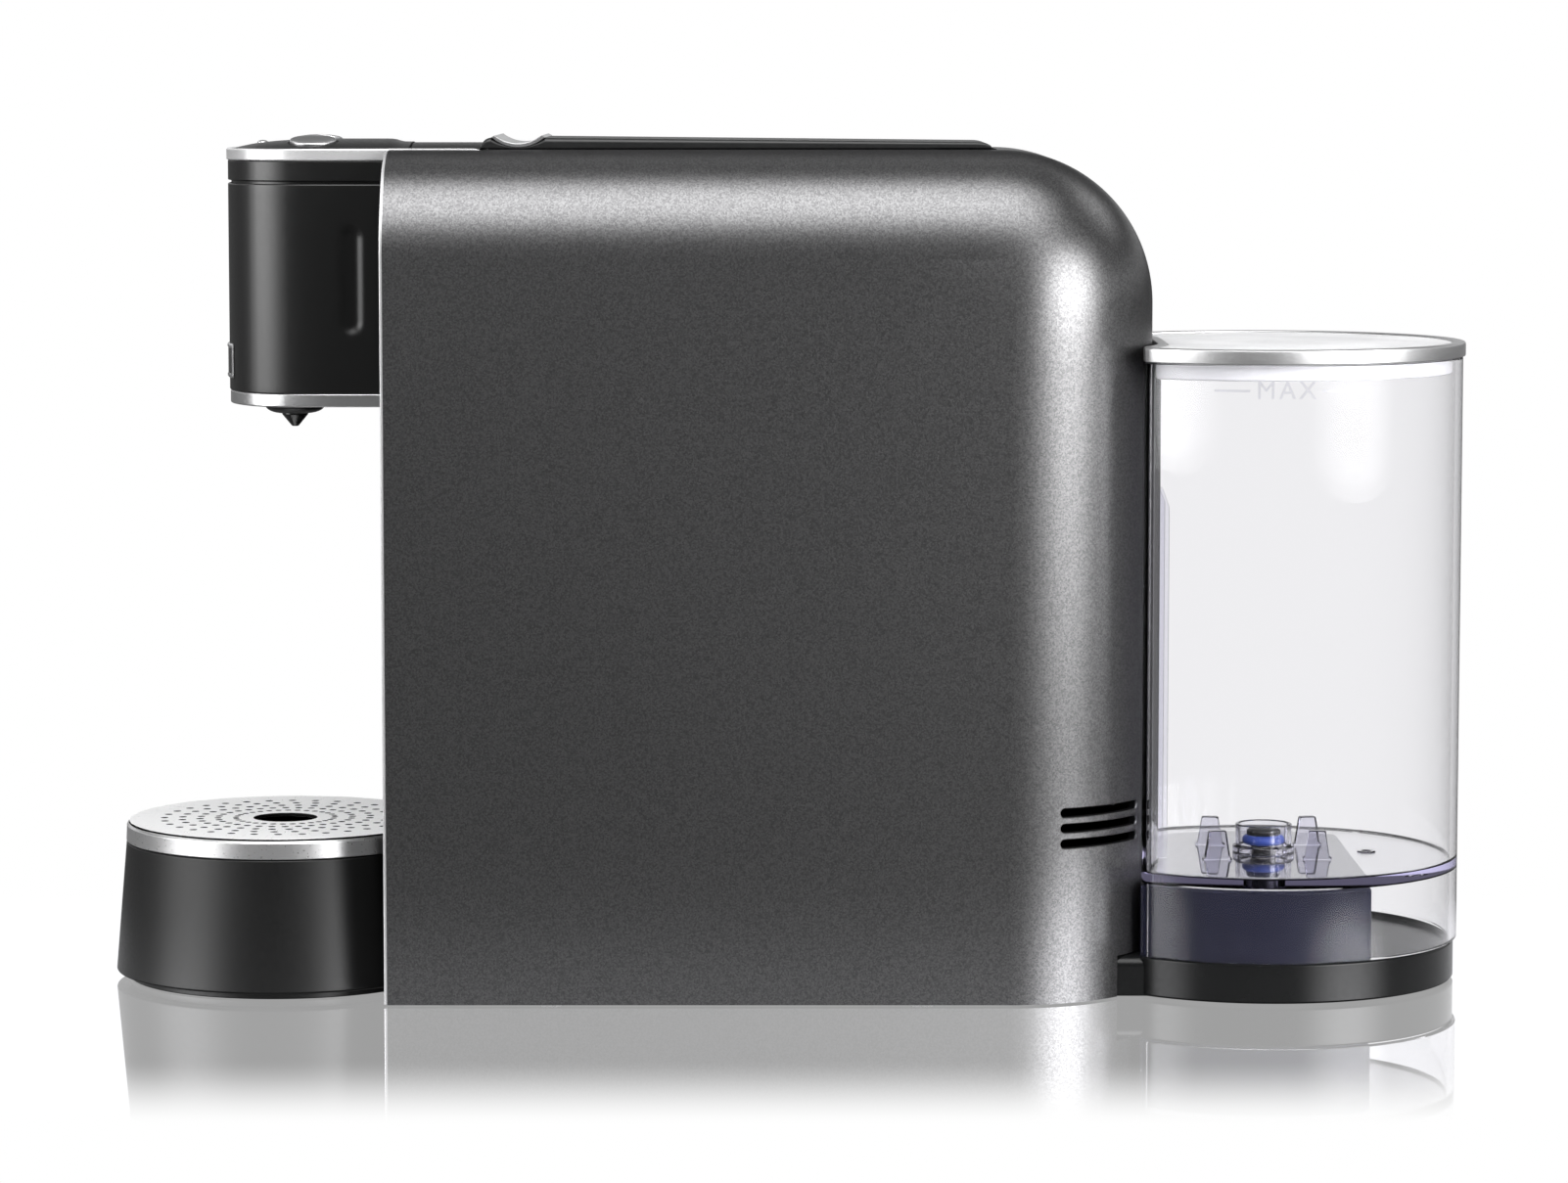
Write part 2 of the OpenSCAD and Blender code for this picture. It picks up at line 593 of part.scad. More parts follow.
module brew_button(s) color(silver) at_button(s) {
    translate([0, 0, -2.2]) cylinder(r = button_d / 2, h = 3.4);
    intersection() {
        translate([0, 0, 1.1]) cylinder(r = button_d / 2, h = 2);
        translate([0, 0, 1.75 - 50]) sphere(50);
    }
    translate([0, 0, -6.3 + button_travel]) cylinder(r = 2.6, h = 4.3 - button_travel);
}
module brew_button_left() brew_button(-1);
module brew_button_right() brew_button(1);
module power_button() color(silver) {
    cz(0, -157.6, 1.7, 249.2, 253);
    intersection() { cz(0, -157.6, 1.7, 252.9, 254); translate([0, -157.6, 253.4 - 4]) sphere(4); }
}
module button_spring(s) color(steel) at_button(s) translate([0, 0, -6.4]) coil(3.6, 0.3, 3, 4.1);
module button_spring_left() button_spring(-1);
module button_spring_right() button_spring(1);

// ---------- water tank ----------

module tank() color(clear) difference() {
    union() {
        difference() {
            tank_block(tank_r, 0, 0.8, 12.7, 188.7);
            tank_block(tank_r, tank_t, 0.8, 37.3, 200);
            tank_block(tank_r, tank_t, 0.8, 5, 34.7);
        }
        // valve chamber, its stepped foot and the spigot under the floor
        cz(0, valve_y, 8.5, 37, 46.2);
        cz(0, valve_y, 9.4, 37, 39.4);
        cz(0, valve_y, 6.6, 27, 35);
        // four spacer fins
        for (sx = [-1, 1]) for (y = [129.8, 159.8])
            along_x(sx * 15 - 1.4, sx * 15 + 1.4) translate([y, 0]) polygon([[-4.4, 37], [4.4, 37], [2.6, 46], [-2.6, 46]]);
    }
    cz(0, valve_y, 7.4, 37.5, 50);
    cz(0, valve_y, 4.2, 30, 40);
    cz(0, valve_y, 5.4, 20, 34.7);
}
module valve_plunger() color([0.06, 0.06, 0.07]) difference() {
    union() {
        cz(0, valve_y, 5.15, 42.8, 44.2);
        intersection() { cz(0, valve_y, 5.15, 44.1, 46); translate([0, valve_y, 44.95 - 18]) sphere(18); }
        cz(0, valve_y, 3.55, 31.7, 42.9);
        cz(0, valve_y, 4, 39.2, 40.2);
        cz(0, valve_y, 4.8, 30.6, 31.8);
    }
    // four flow notches below the seal
    for (a = [0, 90]) translate([0, valve_y, 33]) rotate([0, 0, a]) translate([-5, -0.6, 0]) cube([10, 1.2, 5]);
}
module valve_seal() color([0.12, 0.22, 0.6]) translate([0, valve_y, 41.33]) rotate_extrude()
    translate([5.02, 0]) circle(1.44, $fn = 32);
module valve_spring() color(steel) translate([0, valve_y, 31.9]) coil(4.45, 0.3, 3, 2.7);
module tank_lid_ring() color(silver) difference() {
    tank_block(lid_r, 0, 1.5, 189, 193.3);
    tank_block(lid_r, 4, 0.6, 180, 200);
}
module tank_lid_plate() color([0.93, 0.93, 0.94, 0.6]) difference() {
    tank_block(lid_r, 4.05, 0.6, 184, 191.6);
    tank_block(lid_r, 5.6, 0.6, 180, 189.4);
}

body_shell();
front_trim();
front_panel();
base_plate();
feet();
base_screws();
chassis();
head_frame();
top_ring();
control_panel();
switch_board();
lever_pin();
brew_frame();
injector_plate();
outlet_tube();
capsule_chute();
thermoblock();
hot_water_tube();
pump();
pump_mounts();
flow_meter();
inlet_tube();
pressure_tube();
control_board();
cord_gland();
tank_base();
dock_block();
dock_seal();
lever();
lever_grip();
link_pin();
drag_links();
carriage();
piston();
piston_seal();
port_shutter();
outlet_casing();
outlet_bottom_ring();
outlet_floor();
spout_funnel();
spout_nozzle();
badge_plate();
capsule_bin();
tray_cup();
drip_grille();
brew_button_left();
brew_button_right();
power_button();
button_spring_left();
button_spring_right();
tank();
valve_plunger();
valve_seal();
valve_spring();
tank_lid_ring();
tank_lid_plate();
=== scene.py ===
import bmesh
import bpy
import json
import math
from mathutils import Matrix, Vector


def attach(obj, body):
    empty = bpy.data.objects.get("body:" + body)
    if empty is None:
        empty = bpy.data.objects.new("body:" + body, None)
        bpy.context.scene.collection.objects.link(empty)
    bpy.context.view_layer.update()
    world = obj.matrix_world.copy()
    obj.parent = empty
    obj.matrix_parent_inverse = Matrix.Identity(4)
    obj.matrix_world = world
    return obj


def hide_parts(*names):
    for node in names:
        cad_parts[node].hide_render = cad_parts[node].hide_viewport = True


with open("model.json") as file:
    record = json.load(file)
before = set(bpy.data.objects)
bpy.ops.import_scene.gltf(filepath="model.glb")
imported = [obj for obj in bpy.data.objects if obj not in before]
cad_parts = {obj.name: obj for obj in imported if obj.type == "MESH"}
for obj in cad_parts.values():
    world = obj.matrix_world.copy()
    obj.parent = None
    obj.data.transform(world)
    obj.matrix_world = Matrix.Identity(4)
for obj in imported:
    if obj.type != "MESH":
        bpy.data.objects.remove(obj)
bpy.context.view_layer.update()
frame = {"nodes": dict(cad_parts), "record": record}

NODES = frame["nodes"]
BODIES = frame["record"]["behaviour"]["bodies"]
BODY_OF = {n: b for b, ns in BODIES.items() for n in ns}
SLOT_OF = {s["node"]: s["material_slot"] for s in frame["record"]["subparts"]}
MM = 0.001
scene = bpy.context.scene


# ---------------------------------------------------------------- camera
cam_data = bpy.data.cameras.new("camera")
cam_data.sensor_width = 36
cam_data.lens = 121.87
cam_data.clip_end = 60
cam = bpy.data.objects.new("camera", cam_data)
cam.location = (1.6009, -0.00097, 0.2760)
cam.rotation_euler = (math.radians(84.328), 0, math.radians(90))
scene.collection.objects.link(cam)
scene.camera = cam
scene.view_settings.view_transform = "Standard"


# ---------------------------------------------------------------- shader helpers
class Mat:
    """A Principled material whose noises read the piece's own coordinates, in metres."""

    def __init__(self, name, base, metallic=0.0, roughness=0.5, **sockets):
        self.m = bpy.data.materials.new(name)
        self.m.use_nodes = True
        self.t = self.m.node_tree
        self.t.nodes.clear()
        self.out = self.t.nodes.new("ShaderNodeOutputMaterial")
        self.b = self.t.nodes.new("ShaderNodeBsdfPrincipled")
        self.t.links.new(self.b.outputs[0], self.out.inputs[0])
        self.b.inputs["Base Color"].default_value = (*base, 1)
        self.b.inputs["Metallic"].default_value = metallic
        self.b.inputs["Roughness"].default_value = roughness
        for k, v in sockets.items():
            self.b.inputs[k.replace("_", " ")].default_value = v
        self.coord = self.t.nodes.new("ShaderNodeTexCoord").outputs["Object"]
        self.m.diffuse_color = (*base, 1)

    def stretched(self, sx, sy, sz):
        n = self.t.nodes.new("ShaderNodeMapping")
        n.inputs["Scale"].default_value = (sx, sy, sz)
        self.t.links.new(self.coord, n.inputs["Vector"])
        return n.outputs[0]

    def round_coord(self, cx, cy, turns, along):
        """coordinates that run round an upright axis: angle, radius and height"""
        t = self.t
        s = t.nodes.new("ShaderNodeSeparateXYZ")
        t.links.new(self.coord, s.inputs[0])
        dx = self.math("SUBTRACT", s.outputs[0], cx * MM)
        dy = self.math("SUBTRACT", s.outputs[1], cy * MM)
        ang = self.math("MULTIPLY", self.math("ARCTAN2", dy, dx), turns)
        rad = self.math("MULTIPLY", self.math("SQRT", self.math("ADD", self.math("MULTIPLY", dx, dx), self.math("MULTIPLY", dy, dy))), along)
        c = t.nodes.new("ShaderNodeCombineXYZ")
        t.links.new(ang, c.inputs[0])
        t.links.new(rad, c.inputs[1])
        t.links.new(self.math("MULTIPLY", s.outputs[2], along), c.inputs[2])
        return c.outputs[0]

    def math(self, op, a, b=None):
        n = self.t.nodes.new("ShaderNodeMath")
        n.operation = op
        for i, v in enumerate((a, b)):
            if v is None:
                continue
            if isinstance(v, (int, float)):
                n.inputs[i].default_value = v
            else:
                self.t.links.new(v, n.inputs[i])
        return n.outputs[0]

    def noise(self, scale, detail=2.0, rough=0.5, vector=None):
        n = self.t.nodes.new("ShaderNodeTexNoise")
        n.inputs["Scale"].default_value = scale
        n.inputs["Detail"].default_value = detail
        n.inputs["Roughness"].default_value = rough
        self.t.links.new(vector or self.coord, n.inputs["Vector"])
        return n.outputs[0]

    def cells(self, scale, vector=None):
        n = self.t.nodes.new("ShaderNodeTexVoronoi")
        n.inputs["Scale"].default_value = scale
        self.t.links.new(vector or self.coord, n.inputs["Vector"])
        s = self.t.nodes.new("ShaderNodeSeparateColor")
        self.t.links.new(n.outputs["Color"], s.inputs[0])
        return s.outputs[0]

    def spread(self, v, low, high, a=0.3, b=0.7):
        n = self.t.nodes.new("ShaderNodeMapRange")
        for k, x in (("From Min", a), ("From Max", b), ("To Min", low), ("To Max", high)):
            n.inputs[k].default_value = x
        self.t.links.new(v, n.inputs["Value"])
        return n.outputs[0]

    def tint(self, fac, c1, c2):
        n = self.t.nodes.new("ShaderNodeMix")
        n.data_type = "RGBA"
        n.inputs[6].default_value = (*c1, 1)
        n.inputs[7].default_value = (*c2, 1)
        self.t.links.new(fac, n.inputs[0])
        return n.outputs[2]

    def mix(self, fac, a, b):
        n = self.t.nodes.new("ShaderNodeMix")
        n.data_type = "RGBA"
        n.inputs[0].default_value = fac
        self.t.links.new(a, n.inputs[6])
        self.t.links.new(b, n.inputs[7])
        return n.outputs[2]

    def color(self, v):
        self.t.links.new(v, self.b.inputs["Base Color"])
        return self

    def rough(self, v):
        self.t.links.new(v, self.b.inputs["Roughness"])
        return self

    def bump(self, height, strength, depth_mm, under=None):
        n = self.t.nodes.new("ShaderNodeBump")
        n.inputs["Strength"].default_value = strength
        n.inputs["Distance"].default_value = depth_mm * MM
        self.t.links.new(height, n.inputs["Height"])
        if under is not None:
            self.t.links.new(under, n.inputs["Normal"])
        return n.outputs[0]

    def normal(self, v):
        self.t.links.new(v, self.b.inputs["Normal"])
        return self


def flake_paint():
    p = Mat("gunmetal_flake", (0.115, 0.115, 0.118), 0.90, 0.36, Specular_Tint=(0.55, 0.55, 0.55, 1))
    flake = p.cells(2300)
    fine = p.noise(5200, 2)
    cloud = p.noise(14, 2)
    grain = p.math("ADD", p.math("MULTIPLY", flake, 0.62), p.math("MULTIPLY", fine, 0.38))
    dark = p.tint(p.spread(grain, 0, 1, 0.20, 0.80), (0.062, 0.0615, 0.063), (0.136, 0.1355, 0.1375))
    lift = p.tint(p.spread(cloud, 0, 1), (0.098, 0.0975, 0.099), (0.107, 0.1065, 0.1085))
    p.color(p.mix(0.25, dark, lift))
    p.rough(p.spread(p.noise(1700, 1), 0.280, 0.345))
    p.normal(p.bump(fine, 0.20, 0.012, p.bump(flake, 0.32, 0.010)))
    return p.m


def satin_black(name="satin_black", base=0.0050, low=0.36, high=0.43, grain=0.10, level=0.65):
    p = Mat(name, (base, base, base * 1.04), 0, 0.4, IOR=1.5, Specular_IOR_Level=level)
    fine = p.noise(5200, 2, 0.55)
    broad = p.noise(55, 3)
    blue = 1.9 if name.startswith("navy") else 1.04
    p.color(p.tint(p.spread(broad, 0, 1), (base * 0.88, base * 0.92, base * 0.90 * blue), (base * 1.14, base * 1.18, base * 1.16 * blue)))
    p.rough(p.spread(p.noise(900, 3), low, high))
    p.normal(p.bump(fine, grain, 0.02))
    return p.m


def gloss_black(name="gloss_black", base=(0.0040, 0.0040, 0.0042), low=0.14, high=0.20):
    p = Mat(name, base, 0, 0.15, IOR=1.52)
    p.color(p.tint(p.spread(p.noise(40, 2), 0, 1), tuple(c * 0.9 for c in base), tuple(c * 1.15 for c in base)))
    p.rough(p.spread(p.noise(380, 4), low, high))
    p.normal(p.bump(p.noise(120, 2), 0.02, 0.05))
    return p.m


def silver(name="satin_silver", base=(0.74, 0.745, 0.75), low=0.19, high=0.27, metallic=1.0):
    p = Mat(name, base, metallic, 0.23)
    streak = p.noise(90, 3, 0.6, p.stretched(6, 6, 90))
    p.color(p.tint(p.spread(streak, 0, 1), tuple(c * 0.95 for c in base), tuple(min(1, c * 1.04) for c in base)))
    p.rough(p.spread(p.noise(1400, 3), low, high))
    p.normal(p.bump(streak, 0.03, 0.01))
    return p.m


def brushed_cap():
    p = Mat("brushed_cap", (0.86, 0.86, 0.86), 0.62, 0.3)
    lines = p.noise(1.0, 4, 0.65, p.round_coord(0, -152.7, 95, 60))
    face = p.noise(60, 4, 0.6, p.stretched(1.2, 60, 60))
    both = p.math("ADD", p.math("MULTIPLY", lines, 0.7), p.math("MULTIPLY", face, 0.3))
    p.color(p.tint(p.spread(both, 0, 1, 0.25, 0.75), (0.84, 0.84, 0.84), (0.97, 0.97, 0.975)))
    p.rough(p.spread(both, 0.24, 0.37, 0.25, 0.75))
    p.normal(p.bump(both, 0.10, 0.015))
    return p.m


def metal(name, base, low, high, bump=0.05, scale=1500):
    p = Mat(name, base, 1.0, low)
    n = p.noise(scale, 4)
    p.color(p.tint(p.spread(p.noise(90, 3), 0, 1), tuple(c * 0.86 for c in base), tuple(min(1, c * 1.08) for c in base)))
    p.rough(p.spread(n, low, high))
    p.normal(p.bump(n, bump, 0.03))
    return p.m


def moulded(name, base, low, high, bump=0.12, scale=2600, **kw):
    p = Mat(name, base, 0, low, **kw)
    p.color(p.tint(p.spread(p.noise(45, 3), 0, 1), tuple(c * 0.86 for c in base), tuple(min(1, c * 1.12) for c in base)))
    p.rough(p.spread(p.noise(700, 3), low, high))
    p.normal(p.bump(p.noise(scale, 3), bump, 0.03))
    return p.m


def see_through(name, base, low, high, ior, shadow, absorb=None, density=0.0, sheen=1.0):
    """clear plastic; lamps shine through it by the usual shadow-ray stand-in"""
    p = Mat(name, base, 0, low, IOR=ior, Transmission_Weight=1.0, Specular_Tint=(sheen, sheen, sheen, 1))
    p.rough(p.spread(p.noise(60, 2), low, high))
    p.normal(p.bump(p.noise(34, 2), 0.035, 0.10))
    t = p.t
    path = t.nodes.new("ShaderNodeLightPath")
    clear = t.nodes.new("ShaderNodeBsdfTransparent")
    clear.inputs[0].default_value = (*shadow, 1)
    mixer = t.nodes.new("ShaderNodeMixShader")
    t.links.new(path.outputs["Is Shadow Ray"], mixer.inputs[0])
    t.links.new(p.b.outputs[0], mixer.inputs[1])
    t.links.new(clear.outputs[0], mixer.inputs[2])
    t.links.new(mixer.outputs[0], p.out.inputs[0])
    if absorb:
        v = t.nodes.new("ShaderNodeVolumeAbsorption")
        v.inputs["Color"].default_value = (*absorb, 1)
        v.inputs["Density"].default_value = density
        t.links.new(v.outputs[0], p.out.inputs["Volume"])
    return p.m


def circuit():
    p = Mat("circuit_board", (0.010, 0.065, 0.030), 0, 0.3, IOR=1.5)
    tracks = p.noise(420, 0, 0.5, p.stretched(1, 1, 1))
    p.color(p.tint(p.spread(tracks, 0, 1, 0.47, 0.53), (0.008, 0.050, 0.024), (0.016, 0.105, 0.046)))
    p.rough(p.spread(p.noise(900, 2), 0.24, 0.36))
    p.normal(p.bump(tracks, 0.15, 0.02))
    return p.m


PAINT = flake_paint()
SATIN = satin_black()
SATIN_HEAD = satin_black("satin_head", 0.0008, 0.32, 0.37, 0.05, 0.50)
SATIN_TRAY = satin_black("satin_tray", 0.0010, 0.38, 0.44, 0.06, 0.35)
PANEL = satin_black("satin_panel", 0.0050, 0.34, 0.41, 0.05, 0.36)
# painted shade: a near-black, almost unreflective stand-in put where there is only shade, inside the shell and its vent
# slots, on the grille's hole walls and on the small step at the grille's edge
PAINTED_SHADE_BLACK = moulded("inner_shadow_black", (0.004, 0.004, 0.004), 0.55, 0.70, Specular_IOR_Level=0.02)
BASE_BLACK = satin_black("base_gloss", 0.0042, 0.19, 0.26, 0.02, 0.17)
LID_SILVER = silver("lid_silver", (0.50, 0.50, 0.505), 0.35, 0.43, 1.0)
RIM_SILVER = silver("rim_silver", (0.60, 0.60, 0.605), 0.27, 0.35, 0.94)
GLOSS = gloss_black()
NAVY = satin_black("navy_black", 0.0100, 0.34, 0.42, 0.04, 0.06)
SILVER = silver("satin_silver", (0.58, 0.582, 0.586), 0.28, 0.36)
RING = silver("ring_silver", (0.62, 0.62, 0.625), 0.32, 0.40, 0.72)
TRIM = silver("trim_silver", (0.46, 0.46, 0.465), 0.34, 0.42, 0.6)
BUTTON = silver("button_silver", (0.52, 0.52, 0.525), 0.30, 0.38)
CAP = brushed_cap()
CLEAR = see_through("clear_tank", (0.9440, 0.9430, 0.9450), 0.0, 0.03, 1.50, (0.93, 0.93, 0.95), (0.62, 0.56, 0.93), 11.0, 0.16)
FROST = see_through("tank_mark", (0.90, 0.90, 0.93), 0.14, 0.24, 1.50, (0.85, 0.85, 0.88))
LIDCLEAR = moulded("lid_plate", (0.86, 0.86, 0.87), 0.32, 0.42, 0.03, 2600, Transmission_Weight=0.45)
SMOKE = see_through("clear_tank_ribs", (0.93, 0.93, 0.96), 0.0, 0.03, 1.50, (0.75, 0.75, 0.80), (0.50, 0.48, 0.66), 150.0)
SMOKE_LIGHT = see_through("clear_tank_chamber", (0.96, 0.96, 0.98), 0.0, 0.03, 1.50, (0.85, 0.85, 0.88), (0.60, 0.56, 0.80), 60.0)
VALVE_BLACK = satin_black("valve_black", 0.0060, 0.30, 0.40, 0.03, 0.25)
BY_SLOT = {
    "shell_paint": PAINT, "silver_trim": SILVER, "button_silver": BUTTON, "brushed_plate": CAP, "satin_black": SATIN,
    "gloss_black": GLOSS, "dock_navy": NAVY, "tank_clear": CLEAR, "lid_translucent": LIDCLEAR,
    "foot_rubber": moulded("foot_rubber", (0.016, 0.016, 0.016), 0.62, 0.80, 0.25, 1800),
    "seal_blue": moulded("seal_blue", (0.022, 0.060, 0.300), 0.34, 0.46, 0.06, 2200),
    "seal_red": moulded("seal_red", (0.300, 0.028, 0.014), 0.42, 0.55),
    "steel": metal("plain_steel", (0.56, 0.56, 0.57), 0.22, 0.36),
    "cast_alloy": metal("cast_alloy", (0.50, 0.505, 0.51), 0.42, 0.60, 0.35, 1300),
    "pump_steel": metal("pump_steel", (0.26, 0.26, 0.27), 0.34, 0.50, 0.10, 1600),
    "inner_grey": moulded("inner_grey", (0.034, 0.034, 0.036), 0.46, 0.62, 0.22, 1500),
    "natural_plastic": moulded("natural_plastic", (0.62, 0.60, 0.55), 0.34, 0.50, 0.10, 900, Subsurface_Weight=0.05),
    "circuit_board": circuit(),
}
for node, o in NODES.items():
    o.data.materials.clear()
    o.data.materials.append(BY_SLOT[SLOT_OF[node]])


# ---------------------------------------------------------------- mesh helpers
def mesh_object(name, verts, faces, weld=1e-6):
    me = bpy.data.meshes.new(name)
    me.from_pydata([(x * MM, y * MM, z * MM) for x, y, z in verts], [], faces)
    bm = bmesh.new()
    bm.from_mesh(me)
    bmesh.ops.remove_doubles(bm, verts=bm.verts, dist=weld)
    bmesh.ops.dissolve_degenerate(bm, dist=1e-7, edges=bm.edges)
    bmesh.ops.recalc_face_normals(bm, faces=bm.faces)
    bm.to_mesh(me)
    bm.free()
    o = bpy.data.objects.new(name, me)
    scene.collection.objects.link(o)
    return o


def baked(o):
    """applies a piece's modifiers"""
    dg = bpy.context.evaluated_depsgraph_get()
    new = bpy.data.meshes.new_from_object(o.evaluated_get(dg), preserve_all_data_layers=True, depsgraph=dg)
    old = o.data
    o.modifiers.clear()
    o.data = new
    new.name = o.name
    bpy.data.meshes.remove(old)
    return o


def cut(o, cutter, operation="DIFFERENCE"):
    m = o.modifiers.new("cut", "BOOLEAN")
    m.operation, m.object, m.solver = operation, cutter, "EXACT"
    baked(o)
    bpy.data.objects.remove(cutter)
    return o


def shade(o, angle=32):
    """smooth shading in which the large faces keep their own direction, so tall walls stay true"""
    o.data.shade_smooth()
    o.data.set_sharp_from_angle(angle=math.radians(angle))
    w = o.modifiers.new("weigh", "WEIGHTED_NORMAL")
    w.keep_sharp = True
    w.weight = 50
    return baked(o)


def soften(o, width, segments=2, angle=32):
    """rounds the sharp edges of a finished mesh"""
    m = o.modifiers.new("round", "BEVEL")
    m.width, m.segments, m.limit_method = width * MM, segments, "ANGLE"
    m.angle_limit = math.radians(angle)
    m.use_clamp_overlap = False
    m.miter_outer = "MITER_ARC"
    baked(o)
    o.data.shade_smooth()
    w = o.modifiers.new("weigh", "WEIGHTED_NORMAL")
    w.keep_sharp = True
    w.weight = 60
    return baked(o)


def dress(o, node, mat=None, replace=True, angle=32, smooth=True):
    if smooth:
        shade(o, angle)
    if mat is not None:
        o.data.materials.clear()
        o.data.materials.append(mat)
    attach(o, BODY_OF[node])
    if replace:
        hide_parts(node)
    return o


def refine(node, mat, width=0.3, segments=2, angle=32, name=None):
    """a node's own shape with its sharp edges rounded"""
    bm = bmesh.new()
    bm.from_mesh(NODES[node].data)
    bmesh.ops.remove_doubles(bm, verts=bm.verts, dist=2e-6)
    bmesh.ops.dissolve_limit(bm, angle_limit=math.radians(0.6), verts=bm.verts, edges=bm.edges)
    bmesh.ops.dissolve_degenerate(bm, dist=1e-6, edges=bm.edges)
    me = bpy.data.meshes.new(name or node + "_part")
    bm.to_mesh(me)
    bm.free()
    me.attributes.remove(me.attributes["custom_normal"]) if "custom_normal" in me.attributes else None
    o = bpy.data.objects.new(name or node + "_part", me)
    scene.collection.objects.link(o)
    soften(o, width, segments, angle)
    return dress(o, node, mat, smooth=False)


def loft(name, rings, caps=(True, True), closed=False):
    """a skin through rings of the same number of points; each ring is a closed loop"""
    n = len(rings[0])
    verts = [p for r in rings for p in r]
    faces = []
    last = len(rings) if closed else len(rings) - 1
    for i in range(last):
        a, b = i * n, ((i + 1) % len(rings)) * n
        for j in range(n):
            k = (j + 1) % n
            faces.append((a + j, a + k, b + k, b + j))
    if not closed and caps[0]:
        faces.append(tuple(reversed(range(n))))
    if not closed and caps[1]:
        faces.append(tuple(range((len(rings) - 1) * n, len(rings) * n)))
    return mesh_object(name, verts, faces)


def rounded(points, radii, closed=True, step=12):
    """a polyline with its corners rounded to the given radii"""
    out = []
    n = len(points)
    for i, p in enumerate(points):
        r = radii[i] if isinstance(radii, (list, tuple)) else radii
        if r <= 0 or (not closed and i in (0, n - 1)):
            out.append(tuple(p))
            continue
        a, b = Vector(points[i - 1]), Vector(points[(i + 1) % n])
        c = Vector(p)
        u, v = (a - c), (b - c)
        lu, lv = u.length, v.length
        u.normalize()
        v.normalize()
        ang = math.acos(max(-1, min(1, u.dot(v))))
        if ang > math.radians(179) or ang < math.radians(1):
            out.append(tuple(p))
            continue
        d = min(r / math.tan(ang / 2), lu * 0.49, lv * 0.49)
        r = d * math.tan(ang / 2)
        mid = c + (u + v).normalized() * (r / math.sin(ang / 2))
        s, e = c + u * d, c + v * d
        turn = math.pi - ang
        k = max(2, int(math.degrees(turn) / step) + 1)
        a0 = math.atan2((s - mid).y, (s - mid).x)
        a1 = math.atan2((e - mid).y, (e - mid).x)
        da = (a1 - a0 + math.pi) % (2 * math.pi) - math.pi
        for j in range(k + 1):
            t = a0 + da * j / k
            out.append((mid.x + r * math.cos(t), mid.y + r * math.sin(t)))
    return out


def lathe(name, profile, cx, cy, segs=192, closed=True):
    """an upright turned piece; the profile is (radius, z) pairs round a closed section, or open and ending on the axis"""
    verts, faces = [], []
    n = len(profile)
    for i in range(segs):
        a = 2 * math.pi * i / segs
        for r, z in profile:
            verts.append((cx + r * math.cos(a), cy + r * math.sin(a), z))
    for i in range(segs):
        k = (i + 1) % segs
        for j in range(n if closed else n - 1):
            l = (j + 1) % n
            faces.append((i * n + j, k * n + j, k * n + l, i * n + l))
    return mesh_object(name, verts, faces)


def joined(name, objects):
    bm = bmesh.new()
    for o in objects:
        bm.from_mesh(o.data)
    me = bpy.data.meshes.new(name)
    bm.to_mesh(me)
    bm.free()
    for o in objects:
        bpy.data.objects.remove(o)
    o = bpy.data.objects.new(name, me)
    scene.collection.objects.link(o)
    return o


def box(name, a, b):
    x0, y0, z0 = a
    x1, y1, z1 = b
    v = [(x, y, z) for z in (z0, z1) for y in (y0, y1) for x in (x0, x1)]
    return mesh_object(name, v, [(0, 2, 3, 1), (4, 5, 7, 6), (0, 1, 5, 4), (2, 6, 7, 3), (0, 4, 6, 2), (1, 3, 7, 5)])


def rim(zb, zt, eb, et, n=4):
    """(z, inset) pairs up a wall with rounded lower and upper edges"""
    out = []
    for i in range(n + 1):
        a = math.pi / 2 * i / n
        out.append((zb + eb * (1 - math.cos(a)), eb * (1 - math.sin(a))))
    for i in range(n + 1):
        a = math.pi / 2 * i / n
        out.append((zt - et * (1 - math.sin(a)), et * (1 - math.cos(a))))
    return out


def smooth(t):
    t = max(0.0, min(1.0, t))
    return t * t * (3 - 2 * t)


# ---------------------------------------------------------------- body shell
HW, ZT, YF, YR, Z0 = 59.0, 250.9, -117.7, 109.0, 0.5
ROLL, CORNER, REAR = 31.0, 44.0, 46.0
CY0, CZ0 = YR - REAR, ZT - REAR


def roll_at(t):
    return ROLL + (CORNER - ROLL) * smooth(t)


def body_skin(o):
    """points of the painted shell, stepped in by o: one row for each place along the ridge, and one for each place round the section"""
    stations = []
    for i in range(36):
        stations.append((YF + (CY0 - YF) * i / 36, ZT - o, 0.0, 1.0, ROLL - o))
    for i in range(57):
        t = i / 56
        f = math.radians(90 - 90 * t)
        stations.append((CY0 + (REAR - o) * math.cos(f), CZ0 + (REAR - o) * math.sin(f), math.cos(f), math.sin(f), roll_at(t) - o))
    for i in range(1, 25):
        stations.append((YR - o, CZ0 + (Z0 - CZ0) * i / 24, 1.0, 0.0, CORNER - o))
    rows = []
    for py, pz, ny, nz, r in stations:
        w = HW - o
        half = [(w - r + r * math.sin(math.radians(a * 90 / 28)), r * (1 - math.cos(math.radians(a * 90 / 28)))) for a in range(28, -1, -1)]
        flat = [((w - r) * k / 4, 0.0) for k in (3, 2, 1, 0, -1, -2, -3)]
        sec = half + flat + [(-x, d) for x, d in reversed(half)]
        rows.append([(x, py - ny * d, pz - nz * d) for x, d in sec])
    return rows


